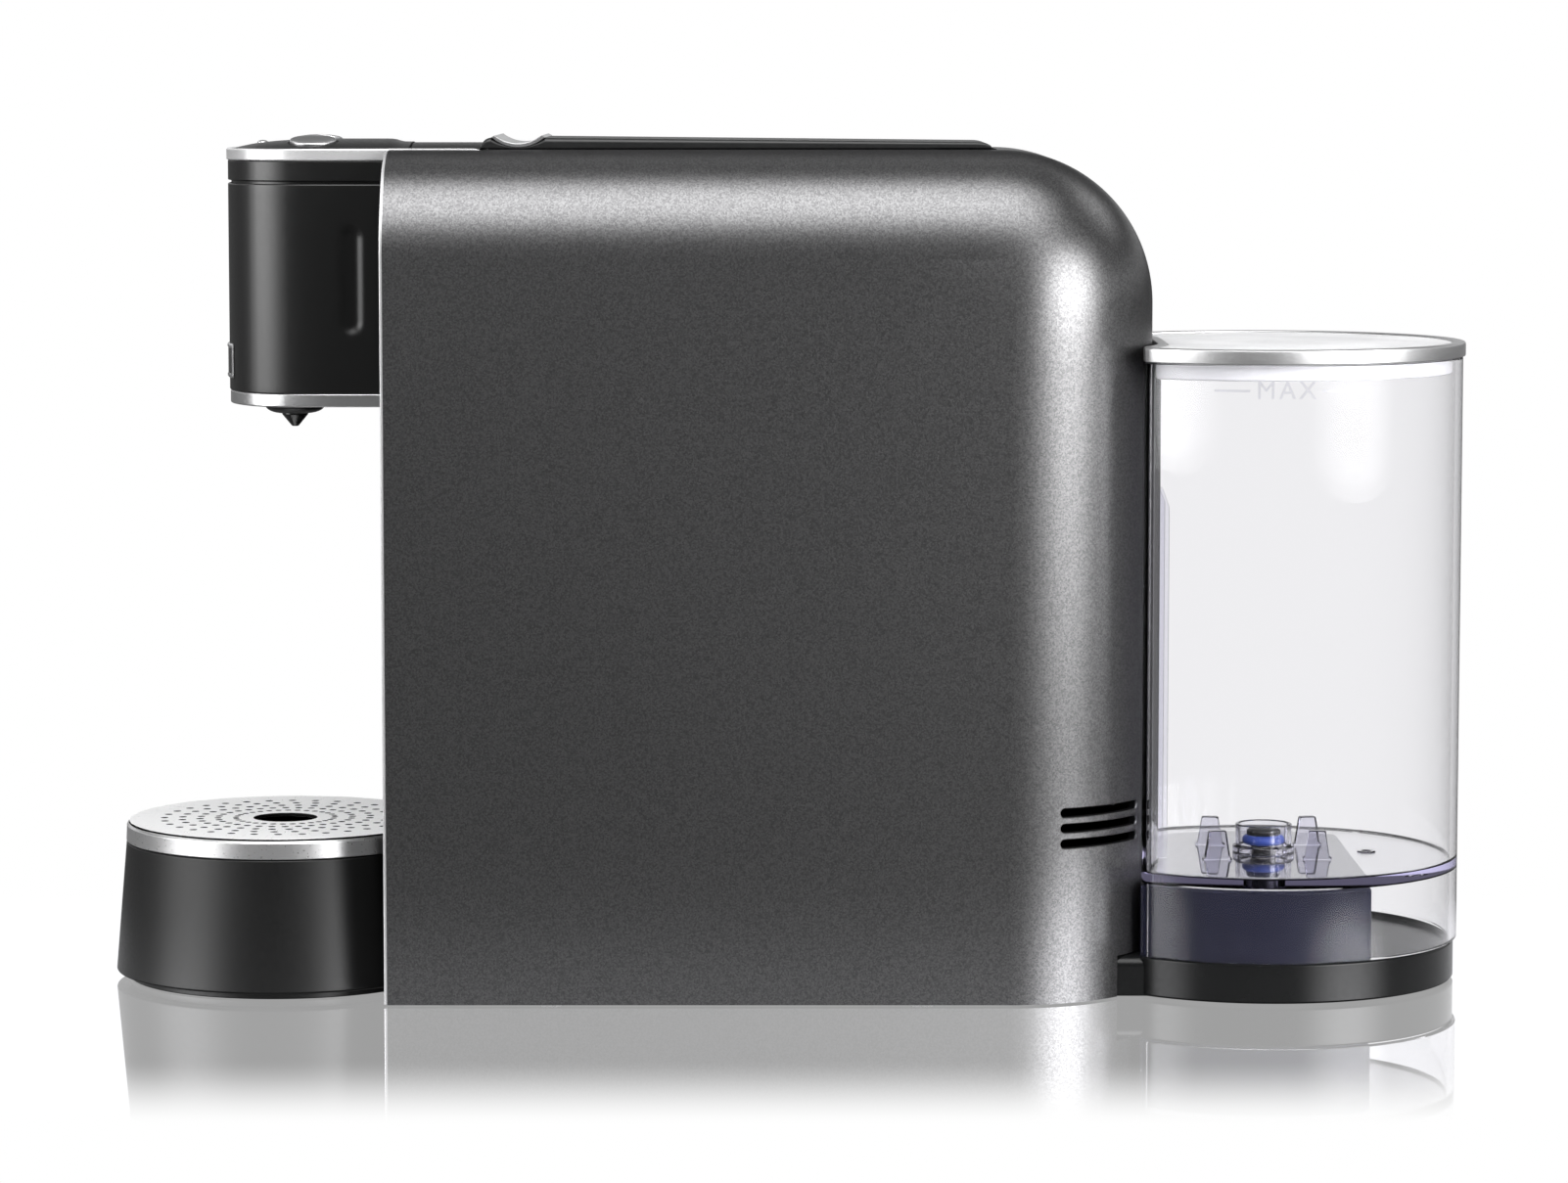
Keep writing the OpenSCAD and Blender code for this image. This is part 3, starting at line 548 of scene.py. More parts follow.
def body_depth(x, y, z):
    """(depth under the outer skin, outward normal)"""
    ax, s = abs(x), (1 if x >= 0 else -1)
    if z <= CZ0:
        if y <= YR - CORNER:
            return HW - ax, (s, 0, 0)
        if ax <= HW - CORNER:
            return YR - y, (0, 1, 0)
        u, v = ax - (HW - CORNER), y - (YR - CORNER)
        l = math.hypot(u, v)
        return CORNER - l, (s * u / l, v / l, 0)
    if y <= CY0:
        if z <= ZT - ROLL:
            return HW - ax, (s, 0, 0)
        if ax <= HW - ROLL:
            return ZT - z, (0, 0, 1)
        u, v = ax - (HW - ROLL), z - (ZT - ROLL)
        l = math.hypot(u, v)
        return ROLL - l, (s * u / l, 0, v / l)
    u, v = y - CY0, z - CZ0
    l = math.hypot(u, v) or 1e-9
    t = 1 - math.atan2(v, u) / (math.pi / 2)
    r, d = roll_at(t), REAR - l
    n = (u / l, v / l)
    if ax <= HW - r:
        return d, (0, n[0], n[1])
    if d >= r:
        return HW - ax, (s, 0, 0)
    p, q = ax - (HW - r), r - d
    m = math.hypot(p, q)
    return r - m, (s * p / m, n[0] * q / m, n[1] * q / m)


def soft_normal(p):
    """outward normal averaged over the neighbourhood, so that flats run into rolls without a visible line"""
    n = Vector(body_depth(*p)[1])
    a = n.cross(Vector((0, 1, 0)) if abs(n.y) < 0.8 else Vector((0, 0, 1))).normalized()
    b = n.cross(a)
    total = n * 1.2
    for k in range(8):
        d = a * math.cos(math.pi * k / 4) + b * math.sin(math.pi * k / 4)
        for reach, weight in ((6, 1.0), (13, 0.75), (21, 0.4)):
            total = total + Vector(body_depth(*(Vector(p) + d * reach))[1]) * weight
    return total.normalized()


def build_body():
    verts, faces = [], []
    spans = []
    for o in (0.0, 2.4):
        rows = body_skin(o)
        base = len(verts)
        m = len(rows[0])
        for r in rows:
            verts.extend(r)
        for i in range(len(rows) - 1):
            for j in range(m - 1):
                a = base + i * m + j
                faces.append((a, a + 1, a + m + 1, a + m))
        w = HW - o
        right, left = len(verts), len(verts) + 1
        verts.extend([(w, YF, Z0), (-w, YF, Z0)])
        n = len(rows)
        faces.append(tuple([right] + [base + i * m for i in range(n)]))
        faces.append(tuple([left] + [base + i * m + m - 1 for i in range(n - 1, -1, -1)]))
        front = [right] + [base + j for j in range(m)] + [left]
        bottom = [left] + [base + (n - 1) * m + j for j in range(m - 1, -1, -1)] + [right]
        spans.append((front, bottom))
    for loop_a, loop_b in zip(spans[0], spans[1]):
        for j in range(len(loop_a) - 1):
            faces.append((loop_a[j], loop_a[j + 1], loop_b[j + 1], loop_b[j]))
    o = mesh_object("body_casing", verts, faces)
    cut(o, box("c1", (-30.1, -130, 240), (30.1, -89.35, 270)))
    cut(o, box("c2", (-23, -100, 235), (23, 62.2, 270)))
    cut(o, box("c3", (-25.4, 43.5, 235), (25.4, 62.2, 270)))
    cut(o, box("c4", (-44.2, 88, -5), (44.2, 130, 12.75)))
    slots = []
    for side in (1, -1):
        for i in range(3):
            zc = 57 - 4.6 * i
            rings = []
            for rho, e in ((36, 0.0), (43.3, 0.0), (43.62, 0.08), (43.86, 0.24), (44.02, 0.42), (54, 0.42)):
                h = 1.2 + e
                ring = []
                for k in range(25):
                    ring.append((math.radians(22.2 + 38.4 * k / 24), zc - h))
                for k in range(1, 8):
                    b = math.radians(-90 + 180 * k / 8)
                    ring.append((math.radians(60.6) + h * math.cos(b) / 44, zc + h * math.sin(b)))
                for k in range(25):
                    ring.append((math.radians(60.6 - 38.4 * k / 24), zc + h))
                for k in range(1, 8):
                    b = math.radians(90 + 180 * k / 8)
                    ring.append((math.radians(22.2) + h * math.cos(b) / 44, zc + h * math.sin(b)))
                rings.append([(side * (15 + rho * math.cos(t)), 65 + rho * math.sin(t), z) for t, z in ring])
            slots.append(loft("slot", rings))
    cut(o, joined("slots", slots))
    me = o.data
    me.materials.clear()
    me.materials.append(PAINT)
    me.materials.append(PAINTED_SHADE_BLACK)
    me.shade_smooth()
    normals = [None] * len(me.loops)
    soft = {}
    for p in me.polygons:
        info = [body_depth(*(me.vertices[v].co / MM)) for v in p.vertices]
        deep = sum(d for d, n in info) / len(info)
        outer = max(abs(d) for d, n in info) < 0.05
        # painted shade: faces lying deeper than the outer skin, inside the shell and on the walls of the vent slots,
        # take the near-black shade material; low at the rear, where the slots are, this starts 0.35 mm down, and
        # elsewhere 0.9 mm down
        p.material_index = 1 if deep > (0.35 if p.center.z < 0.07 and p.center.y > 0.06 else 0.9) else 0
        for k, li in enumerate(p.loop_indices):
            if outer:
                v = p.vertices[k]
                if v not in soft:
                    soft[v] = tuple(soft_normal(me.vertices[v].co / MM))
                normals[li] = soft[v]
            else:
                normals[li] = tuple(p.normal)
    me.normals_split_custom_set(normals)
    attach(o, BODY_OF["body_shell"])
    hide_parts("body_shell")


def build_front_trim():
    """the bright strip round the front edge of the casing, open where the head comes out"""
    halves = []
    for s in (1, -1):
        path = []
        for i in range(13):
            path.append((58.85, 0.6 + (219.9 - 0.6) * i / 12, 1.0, 0.0))
        end = math.acos(2.1 / 30.85)
        for i in range(1, 33):
            a = end * i / 32
            path.append((28 + 30.85 * math.cos(a), 219.9 + 30.85 * math.sin(a), math.cos(a), math.sin(a)))
        sec = rounded([(0, -117.72), (0, -118.6), (-2.25, -118.6), (-2.25, -117.72)], [0, 0.32, 0.2, 0], step=22)
        rings = [[(s * (x + nx * d), y, z + nz * d) for d, y in sec] for x, z, nx, nz in path]
        halves.append(loft("half", rings))
    dress(joined("front_edge_strip", halves), "front_trim", TRIM)


# ---------------------------------------------------------------- head
def head_path(o, rear, sides=()):
    """the head's outline in plan from the right rear round the nose to the left rear, stepped in by o"""
    w = 30 - o
    pts = [(w, rear)] + [(w, y) for y in sorted(sides, reverse=True)]
    lim = -math.degrees(math.atan2(17.44, 15))
    for i in range(15):
        a = math.radians(lim * i / 14)
        pts.append((15 + (15 - o) * math.cos(a), -147.74 + (15 - o) * math.sin(a)))
    for i in range(1, 40):
        a = math.radians(lim + (-180 - 2 * lim) * i / 40)
        pts.append(((38 - o) * math.cos(a), -130.3 + (38 - o) * math.sin(a)))
    for i in range(15):
        a = math.radians(-180 - lim + lim * i / 14)
        pts.append((-15 + (15 - o) * math.cos(a), -147.74 + (15 - o) * math.sin(a)))
    pts += [(-w, y) for y in sorted(sides)] + [(-w, rear)]
    return pts


def head_c(o0, o1, rear, inset, sides=()):
    """a wall that follows the nose and is open at the rear"""
    outer = head_path(o0 + inset, rear - inset, sides)
    inner = head_path(o1 - inset, rear - inset, sides)
    return outer + inner[::-1]


def soft_turns(reach=17.0):
    """how far to turn a wall's normal at each place round the head so that flanks run into the nose without a hard line"""
    path = head_path(0.3, -117)
    fine = []
    for a, b in zip(path, path[1:]):
        n = max(1, int(math.dist(a, b) / 0.5))
        ang = math.atan2(b[0] - a[0], a[1] - b[1])
        for i in range(n):
            t = (i + 0.5) / n
            fine.append((a[0] + (b[0] - a[0]) * t, a[1] + (b[1] - a[1]) * t, math.dist(a, b) / n, ang))
    along, total = [], 0.0
    for x, y, l, ang in fine:
        total += l
        along.append(total - l / 2)
    table = []
    for i, (x, y, l, ang) in enumerate(fine):
        sx = sy = 0.0
        for j, (_, _, m, b) in enumerate(fine):
            d = abs(along[i] - along[j])
            if d < reach:
                w = m * (1 - (d / reach) ** 2)
                sx += w * math.cos(b)
                sy += w * math.sin(b)
        turn = math.atan2(sy, sx) - ang
        turn = (turn + math.pi) % (2 * math.pi) - math.pi
        edge = min(along[i], total - along[i])
        table.append((x, y, turn * min(1.0, edge / reach)))
    return table


TURNS = []


def soften_nose(o):
    """turns the wall normals of a piece that follows the head's outline"""
    if not TURNS:
        TURNS.extend(soft_turns())
    me = o.data
    known = {}
    normals = []
    corner = [Vector(n.vector) for n in me.corner_normals]
    for i, loop in enumerate(me.loops):
        v = loop.vertex_index
        if v not in known:
            c = me.vertices[v].co / MM
            if c.y > -118:
                known[v] = 0.0
            else:
                known[v] = min(TURNS, key=lambda p: (p[0] - c.x) ** 2 + (p[1] - c.y) ** 2)[2]
        n = corner[i]
        a = known[v]
        normals.append((n.x * math.cos(a) - n.y * math.sin(a), n.x * math.sin(a) + n.y * math.cos(a), n.z))
    me.normals_split_custom_set(normals)
    return o


def build_casing():
    """spout housing: satin wall with a soft finger hollow in each flank"""
    fine = [-118.5 - 0.5 * i for i in range(41)] + [-140.5, -143, -145.5]
    levels = rim(178.8, 240.8, 0.35, 0.5)
    lower, upper = levels[:5], levels[5:]
    mids = [(z, 0.0) for z in [181 + 2.0 * i for i in range(6)] + [192.4 + 0.62 * i for i in range(66)] + [234.5, 236.5, 238.5]]
    rings = []
    for z, e in lower + mids + upper:
        ring = []
        base = head_c(0.3, 2.7, -116.9, e, fine)
        half = len(base) // 2
        for i, (x, y) in enumerate(base):
            if i < half and abs(x) > 29 and y > -140:
                zc = max(200.1, min(224.8, z))
                rim_d = 4.6 - math.hypot(y + 129.4, z - zc)
                ramp = smooth((y + 134.4) / 7.6) if y < -126.8 else 1.0
                x -= math.copysign(0.95 * smooth(rim_d / 3.3) * (0.10 + 0.90 * ramp), x)
            ring.append((x, y, z))
        rings.append(ring)
    # a set-back lip closes the seam under the head
    lip = loft("lip", [[(x, y, z) for x, y in head_c(1.3, 2.5, -116.9, 0.0, fine)] for z in (240.3, 241.5)])
    o = joined("spout_housing_wall", [loft("wall", rings), lip])
    soften_nose(dress(o, "outlet_casing", SATIN_HEAD, angle=40))


def c_band(name, node, o0, o1, rear, zb, zt, mat, e=0.35, shape=None):
    rings = []
    for z, i in rim(zb, zt, e, e):
        r = [(x, y, z) for x, y in head_c(o0, o1, rear, i, (-118.2, -125, -135))]
        rings.append([shape(*p) for p in r] if shape else r)
    return soften_nose(dress(loft(name, rings), node, mat))


def build_top_ring():
    """bright ring round the top of the head, carried back along the casing as two thin rails"""
    rings = []
    for z, i in rim(247.65, 251.2, 0.45, 0.55, 5):
        sides = (-91, -91.6, -92.6, -95, -105, -112, -117.4, -117.9, -125, -135)
        outer = head_path(-0.1 + i, -90.3 - i, sides)
        inner = head_path(1.5 - i, -90.3 - i, sides)
        ring = []
        for k, (x, y) in enumerate(outer + inner[::-1]):
            zz = z
            if y > -117.7:
                # behind the casing's front edge only the top of the rail shows
                x = math.copysign(min(abs(x), 29.95), x)
                zz = 248.3 + (z - 247.65) * (251.3 - 248.3) / (251.2 - 247.65)
                if y > -92.8:
                    zz -= 1.3 * (1 - math.sqrt(max(0, 1 - ((y + 92.8) / 2.6) ** 2)))
            ring.append((x, y, zz))
        rings.append(ring)
    soften_nose(dress(loft("head_top_ring", rings), "top_ring", RING))


PANEL_LINE = [(-168.5, 250.35), (-166.7, 250.9), (-164.5, 251.5), (-161, 252.25), (-157.5, 252.8), (-154, 253.15), (-149, 253.5), (-143, 253.75), (-136, 253.86),
              (-120, 253.86), (-118, 253.8), (-116.9, 253.5), (-116.0, 253.12), (-115, 252.98), (-90, 252.95)]


def panel_ridge(y):
    for (y0, z0), (y1, z1) in zip(PANEL_LINE, PANEL_LINE[1:]):
        if y <= y1:
            return z0 + (z1 - z0) * max(0.0, min(1.0, (y - y0) / (y1 - y0)))
    return PANEL_LINE[-1][1]


def panel_edge(x, y):
    """distance in from the lid's edge"""
    ax = abs(x)
    d = [-91.25 - y]
    if y > -147.74:
        d.append(28.4 - ax)
    else:
        a = math.degrees(math.atan2(y + 147.74, ax - 15)) if ax > 15 else -90
        d.append(13.4 - math.hypot(ax - 15, y + 147.74) if a > -49.3 else 36.4 - math.hypot(x, y + 130.3))
    return max(0.0, min(d))


def panel_height(x, y):
    """crowned top of the head, falling towards the nose and rounded off at its edge"""
    ridge = (panel_ridge(y - 0.7) + panel_ridge(y) * 2 + panel_ridge(y + 0.7)) / 4
    z = ridge - 0.72 * (90 - math.sqrt(8100 - x * x))
    e, d = 1.1, panel_edge(x, y)
    return z - (e - math.sqrt(max(0.0, e * e - (e - min(e, d)) ** 2)))


def build_panel():
    """control panel: a crowned lid with holes for the buttons and the capsule port"""
    rows = []
    for i in range(31):
        a = math.radians(-90 + 40.7 * i / 30)
        rows.append(-130.3 + 36.4 * math.sin(a))
    for i in range(1, 17):
        a = math.radians(-49.3 + 49.3 * i / 16)
        rows.append(-147.74 + 13.4 * math.sin(a))
    rows += [-147.74 + (56.49 - 1.1) * i / 44 for i in range(1, 45)] + [-92.0, -91.75, -91.5, -91.33, -91.25]

    def half(y):
        if y > -147.74:
            return 28.4
        t = y + 147.74
        a = 15 + math.sqrt(max(0, 13.4 ** 2 - t * t)) if t > -13.4 else 0
        u = y + 130.3
        b = math.sqrt(max(0, 36.4 ** 2 - u * u))
        return a if y > -147.74 - 13.4 * math.sin(math.radians(49.3)) else b
    us = [math.sin(math.pi / 2 * (-1 + 2 * k / 48)) for k in range(49)]
    m = len(us)
    verts, faces = [], []
    for y in rows:
        for u in us:
            x = half(y) * u
            verts.append((x, y, panel_height(x, y)))
    for y in rows:
        for u in us:
            verts.append((half(y) * u, y, 247.7))
    n, base = len(rows), len(rows) * m
    for i in range(n - 1):
        for j in range(m - 1):
            a = i * m + j
            faces.append((a, a + 1, a + m + 1, a + m))
            a += base
            faces.append((a, a + m, a + m + 1, a + 1))
        for j in (0, m - 1):
            a = i * m + j
            faces.append((a, a + m, base + a + m, base + a))
    for j in range(m - 1):
        for i in (0, n - 1):
            a = i * m + j
            faces.append((a, a + 1, base + a + 1, base + a))
    o = mesh_object("control_panel_top", verts, faces, weld=2e-6)
    for s in (-1, 1):
        c = lathe("hole", [(0, -9), (7.2, -9), (7.2, -0.75), (7.35, -0.45), (7.8, 0.15), (7.8, 8), (0, 8)], 0, 0, 96, closed=False)
        c.data.transform(Matrix.Translation(Vector((s * 13, -141.4, 252.7)) * MM) @ Matrix.Rotation(math.radians(10 * s), 4, "Y"))
        cut(o, c)
    cut(o, lathe("hole", [(0, 240), (1.95, 240), (1.95, 252.2), (2.25, 252.9), (2.25, 258), (0, 258)], 0, -157.6, 48, closed=False))
    cut(o, box("port", (-19.6, -112.4, 240), (19.6, -80, 258)))
    shade(o, 28)
    me = o.data
    normals = [None] * len(me.loops)
    for p in me.polygons:
        co = [me.vertices[v].co / MM for v in p.vertices]
        top = p.normal.z > 0.3 and all(abs(c.z - panel_height(c.x, c.y)) < 0.03 for c in co)
        for k, li in enumerate(p.loop_indices):
            if top:
                x, y = co[k].x, co[k].y
                gx = (panel_height(x + 0.15, y) - panel_height(x - 0.15, y)) / 0.3
                gy = (panel_height(x, y + 0.15) - panel_height(x, y - 0.15)) / 0.3
                normals[li] = Vector((-gx, -gy, 1)).normalized()
            else:
                normals[li] = tuple(me.corner_normals[li].vector)
    me.normals_split_custom_set(normals)
    dress(o, "control_panel", PANEL, smooth=False)


def build_buttons():
    for s, node in ((-1, "brew_button_left"), (1, "brew_button_right")):
        # stem, and a pocket underneath that the spring sinks into when the button is pressed
        prof = [(0, -5.2), (2.45, -5.2), (2.6, -5.05), (2.6, -0.75), (4.4, -0.75), (4.4, -2.2), (6.7, -2.2), (6.9, -2.0)]
        prof += [(6.9 - 0.5 * (1 - math.cos(a)), 0.75 + 0.5 * math.sin(a)) for a in [math.radians(15 * i) for i in range(7)]]
        prof += [(6.05, 1.22), (5.75, 1.12), (5.2, 1.08), (3.0, 1.0), (1.5, 0.97), (0, 0.96)]
        o = lathe("round_button_" + ("left" if s < 0 else "right"), prof, 0, 0, 128, closed=False)
        o.data.transform(Matrix.Translation(Vector((s * 13, -141.4, 252.7)) * MM) @ Matrix.Rotation(math.radians(10 * s), 4, "Y"))
        dress(o, node, BUTTON, angle=30)
    prof = [(0, 249.2), (1.55, 249.2), (1.7, 249.4), (1.7, 252.6)] + [(1.7 * math.cos(math.radians(a)), 252.6 + 0.85 * math.sin(math.radians(a))) for a in range(15, 91, 15)]
    dress(lathe("small_power_button", prof, 0, -157.6, 64, closed=False), "power_button", BUTTON, angle=40)


def build_badge():
    """a blank plate with a raised border, bent to the nose"""
    n, m = 40, 22
    half = 14 / 38
    verts, faces = [], []
    for j in range(m + 1):
        for i in range(n + 1):
            u, v = -1 + 2 * i / n, -1 + 2 * j / m
            px, pz = abs(u) * 14, abs(v) * 5.15
            edge = min(14 - px, 5.15 - pz)
            r = 38.02 + 0.34 * smooth((edge - 0.0) / 0.35) - 0.24 * smooth((edge - 1.0) / 0.4)
            a = -math.pi / 2 + half * u
            z = 187.65 + 5.15 * v
            verts.append((r * math.cos(a), -130.3 + r * math.sin(a), z))
    for j in range(m):
        for i in range(n):
            a = j * (n + 1) + i
            faces.append((a, a + 1, a + n + 2, a + n + 1))
    back = len(verts)
    for j in range(m + 1):
        for i in range(n + 1):
            a = -math.pi / 2 + half * (-1 + 2 * i / n)
            verts.append((37.75 * math.cos(a), -130.3 + 37.75 * math.sin(a), 187.65 + 5.15 * (-1 + 2 * j / m)))
    for j in range(m):
        for i in range(n):
            a = back + j * (n + 1) + i
            faces.append((a, a + n + 1, a + n + 2, a + 1))
    ring = [i for i in range(n)] + [j * (n + 1) + n for j in range(m)] + [m * (n + 1) + i for i in range(n, 0, -1)] + [j * (n + 1) for j in range(m, 0, -1)]
    for k in range(len(ring)):
        a, b = ring[k], ring[(k + 1) % len(ring)]
        faces.append((a, back + a, back + b, b))
    o = dress(mesh_object("blank_badge", verts, faces), "badge_plate", SILVER, angle=50)
    o.data.materials.append(GLOSS)
    for p in o.data.polygons:
        c = p.center / MM
        arc = 38 * (math.atan2(c.y + 130.3, c.x) + math.pi / 2)
        if math.hypot(c.x, c.y + 130.3) > 37.9 and abs(arc) < 12.7 and abs(c.z - 187.65) < 3.85:
            p.material_index = 1


def build_spout():
    y = -148.6
    bowl = [(3.95 + 4.95 * math.sin(math.radians(a)), 171.3 + 2.3 * (1 - math.cos(math.radians(a)))) for a in range(0, 91, 6)]
    prof = [(3.3, 171.3), (3.9, 171.28)] + bowl + [(8.95, 178.0), (9.9, 178.0), (9.9, 189.8), (9.7, 190), (8.4, 190), (8.2, 189.8), (8.2, 179.5), (3.3, 179.5)]
    dress(lathe("spout_dish", prof, 0, y, 160), "spout_funnel", SATIN, angle=40)
    prof = rounded([(0.62, 167.3), (1.0, 167.35), (3.92, 170.9), (3.92, 171.32), (3.1, 171.4), (3.1, 176), (2.1, 176), (2.1, 171.4), (0.62, 170.4)],
                   [0, 0.5, 0.35, 0.1, 0, 0, 0, 0, 0], step=12)
    o = lathe("spout_tip", prof, 0, y, 128)
    dress(o, "spout_nozzle", GLOSS, angle=40)


# ---------------------------------------------------------------- lever
def build_lever():
    def top(y):
        if y < -87.7:
            t = (y + 90.8) / 3.1
            return 251.35 + 3.05 * math.sin(math.pi / 2 * max(0, min(1, t)) ** 0.62)
        if y < -71.7:
            return 264.1 - math.sqrt(12.5 ** 2 - (y + 79.7) ** 2)
        if y < 56.4:
            return 254.38 + (253.1 - 254.38) * (y + 71.7) / 128.1
        t = (y - 56.4) / 4.2
        return 253.1 - 1.75 * (1 - math.sqrt(max(0, 1 - t * t)))
    ys = [-90.8, -90.74, -90.6, -90.3, -89.9, -89.3, -88.6, -88.0, -87.72, -87.68]
    ys += [-87.4 + 0.56 * i for i in range(28)] + [-71.72, -71.68, -71.2]
    ys += [-66 + 6.0 * i for i in range(21)] + [56.4, 57.4, 58.4, 59.2, 59.8, 60.2, 60.45, 60.6]
    ys = sorted(set(y for y in ys if y <= 60.6))
    rings = []
    for y in ys:
        zt = max(251.25 + 0.12, top(y))
        zb = 251.2
        h = zt - zb
        r = min(1.5, h * 0.46)
        e = min(0.3, h * 0.3)
        sec = []
        for a in range(0, 91, 15):
            sec.append((25 - r + r * math.cos(math.radians(a)), zt - r + r * math.sin(math.radians(a))))
        sec += [(12, zt + 0.06), (0, zt + 0.08), (-12, zt + 0.06)] if -71 < y < 56 else [(12, zt), (0, zt), (-12, zt)]
        for a in range(90, 181, 15):
            sec.append((-25 + r + r * math.cos(math.radians(a)), zt - r + r * math.sin(math.radians(a))))
        sec += [(-25, zb + e), (-25 + e, zb), (25 - e, zb), (25, zb + e)]
        rings.append([(x, y, z) for x, z in sec])
    plate = loft("lever_plate", rings)
    parts = [plate]
    prof = rounded([(-88.8, 248.4), (-88.8, 251.3), (-66, 251.3), (-66, 248.4)], 0.5, step=20)
    parts.append(loft("b", [[(x, y, z) for y, z in prof] for x in (-22.5, 22.5)]))
    for s in (-1, 1):
        def arc(cy, cz, r, a0, a1, n=16):
            return [(cy + r * math.cos(math.radians(a0 + (a1 - a0) * i / n)), cz + r * math.sin(math.radians(a0 + (a1 - a0) * i / n))) for i in range(n + 1)]
        prof = [(-66.5, 251.4), (-66.5, 246.2), (-64.6, 243.6), (-62, 243.4), (12, 243.4)] + arc(17, 242.5, 4.4, 205, 335) + [(22, 243.4), (41, 243.4)] + arc(45, 245.5, 4.6, 215, 335) + [(52, 243.9), (54, 246.0), (54, 251.4)]
        parts.append(loft("c", [[(s * x, y, z) for y, z in prof] for x in (19.2, 21.8)]))
    o = joined("lever_arm", parts)
    dress(o, "lever", PANEL, angle=28)
    rings = []
    for x, e in ((-25.15, 0.35), (-25.05, 0.12), (-24.8, 0.0), (24.8, 0.0), (25.05, 0.12), (25.15, 0.35)):
        ring = []
        ro, ri = 12.45 - e * 0.5, 11.35 + e * 0.5
        half_o, half_i = 39.3, 37.5
        for i in range(29):
            a = math.radians(-90 - half_o + 2 * half_o * i / 28)
            ring.append((x, -79.7 + ro * math.cos(a), 264.1 + ro * math.sin(a)))
        for i in range(29):
            a = math.radians(-90 + half_i - 2 * half_i * i / 28)
            ring.append((x, -79.7 + ri * math.cos(a), 264.1 + ri * math.sin(a)))
        rings.append(ring)
    dress(loft("lever_finger_grip", rings), "lever_grip", SILVER, angle=35)


# ---------------------------------------------------------------- tray
def build_tray():
    prof = rounded([(0, 0.2), (47.4, 0.2), (47.4, 2.3), (51.42, 2.3), (48.02, 41.7), (45.6, 41.7), (45.6, 45.4), (43.4, 45.4), (43.4, 42.0), (44.4, 2.6), (0, 2.6)],
                   [0, 0.3, 0.2, 0.7, 0.45, 0.2, 0.3, 0.3, 0, 2.0, 0], closed=False, step=12)
    dress(lathe("drip_cup", prof, 0, -152.7, 224, closed=False), "tray_cup", SATIN_TRAY, angle=40)
    y = -152.7
    prof = rounded([(48.1, 42.0), (47.9, 46.7), (47.45, 47.4), (47.12, 47.46), (47.1, 48.0), (9.6, 48.0), (9.6, 46.9), (46.15, 46.9), (46.15, 42.0)],
                   [0.25, 0.5, 0.3, 0, 0.09, 0.3, 0.15, 0.3, 0.2], step=15)
    o = lathe("drip_plate", prof, 0, y, 240)
    holes = []
    for i in range(5):
        for k in range(32):
            r, a = 15 + 5.42 * i, math.radians(1.9 - 2.7 * (4 - i) + k * 360 / 32)
            w = (0.98, 1.12, 1.2, 1.2, 1.2)[i]
            holes.append(lathe("h", [(0, 46), (w, 46), (w, 49.5), (0, 49.5)], r * math.cos(a), y + r * math.sin(a), 20, closed=False))
    cut(o, joined("holes", holes))
    dress(o, "drip_grille", CAP, angle=30)
    o.data.materials.append(PAINTED_SHADE_BLACK)
    o.data.materials.append(RIM_SILVER)
    # painted shade: the walls of the holes and the small upright step at the plate's edge take the near-black shade
    # material, so the holes read dark and the edge shows a thin dark line
    for p in o.data.polygons:
        c = p.center / MM
        far = math.hypot(c.x, c.y + 152.7)
        if 46.95 < c.z < 47.95 and (far < 46.0 or 47.0 < far < 47.3):
            p.material_index = 1
        elif far > 47.3 and c.z < 47.46:
            p.material_index = 2


# ---------------------------------------------------------------- water tank
TY = 144.2


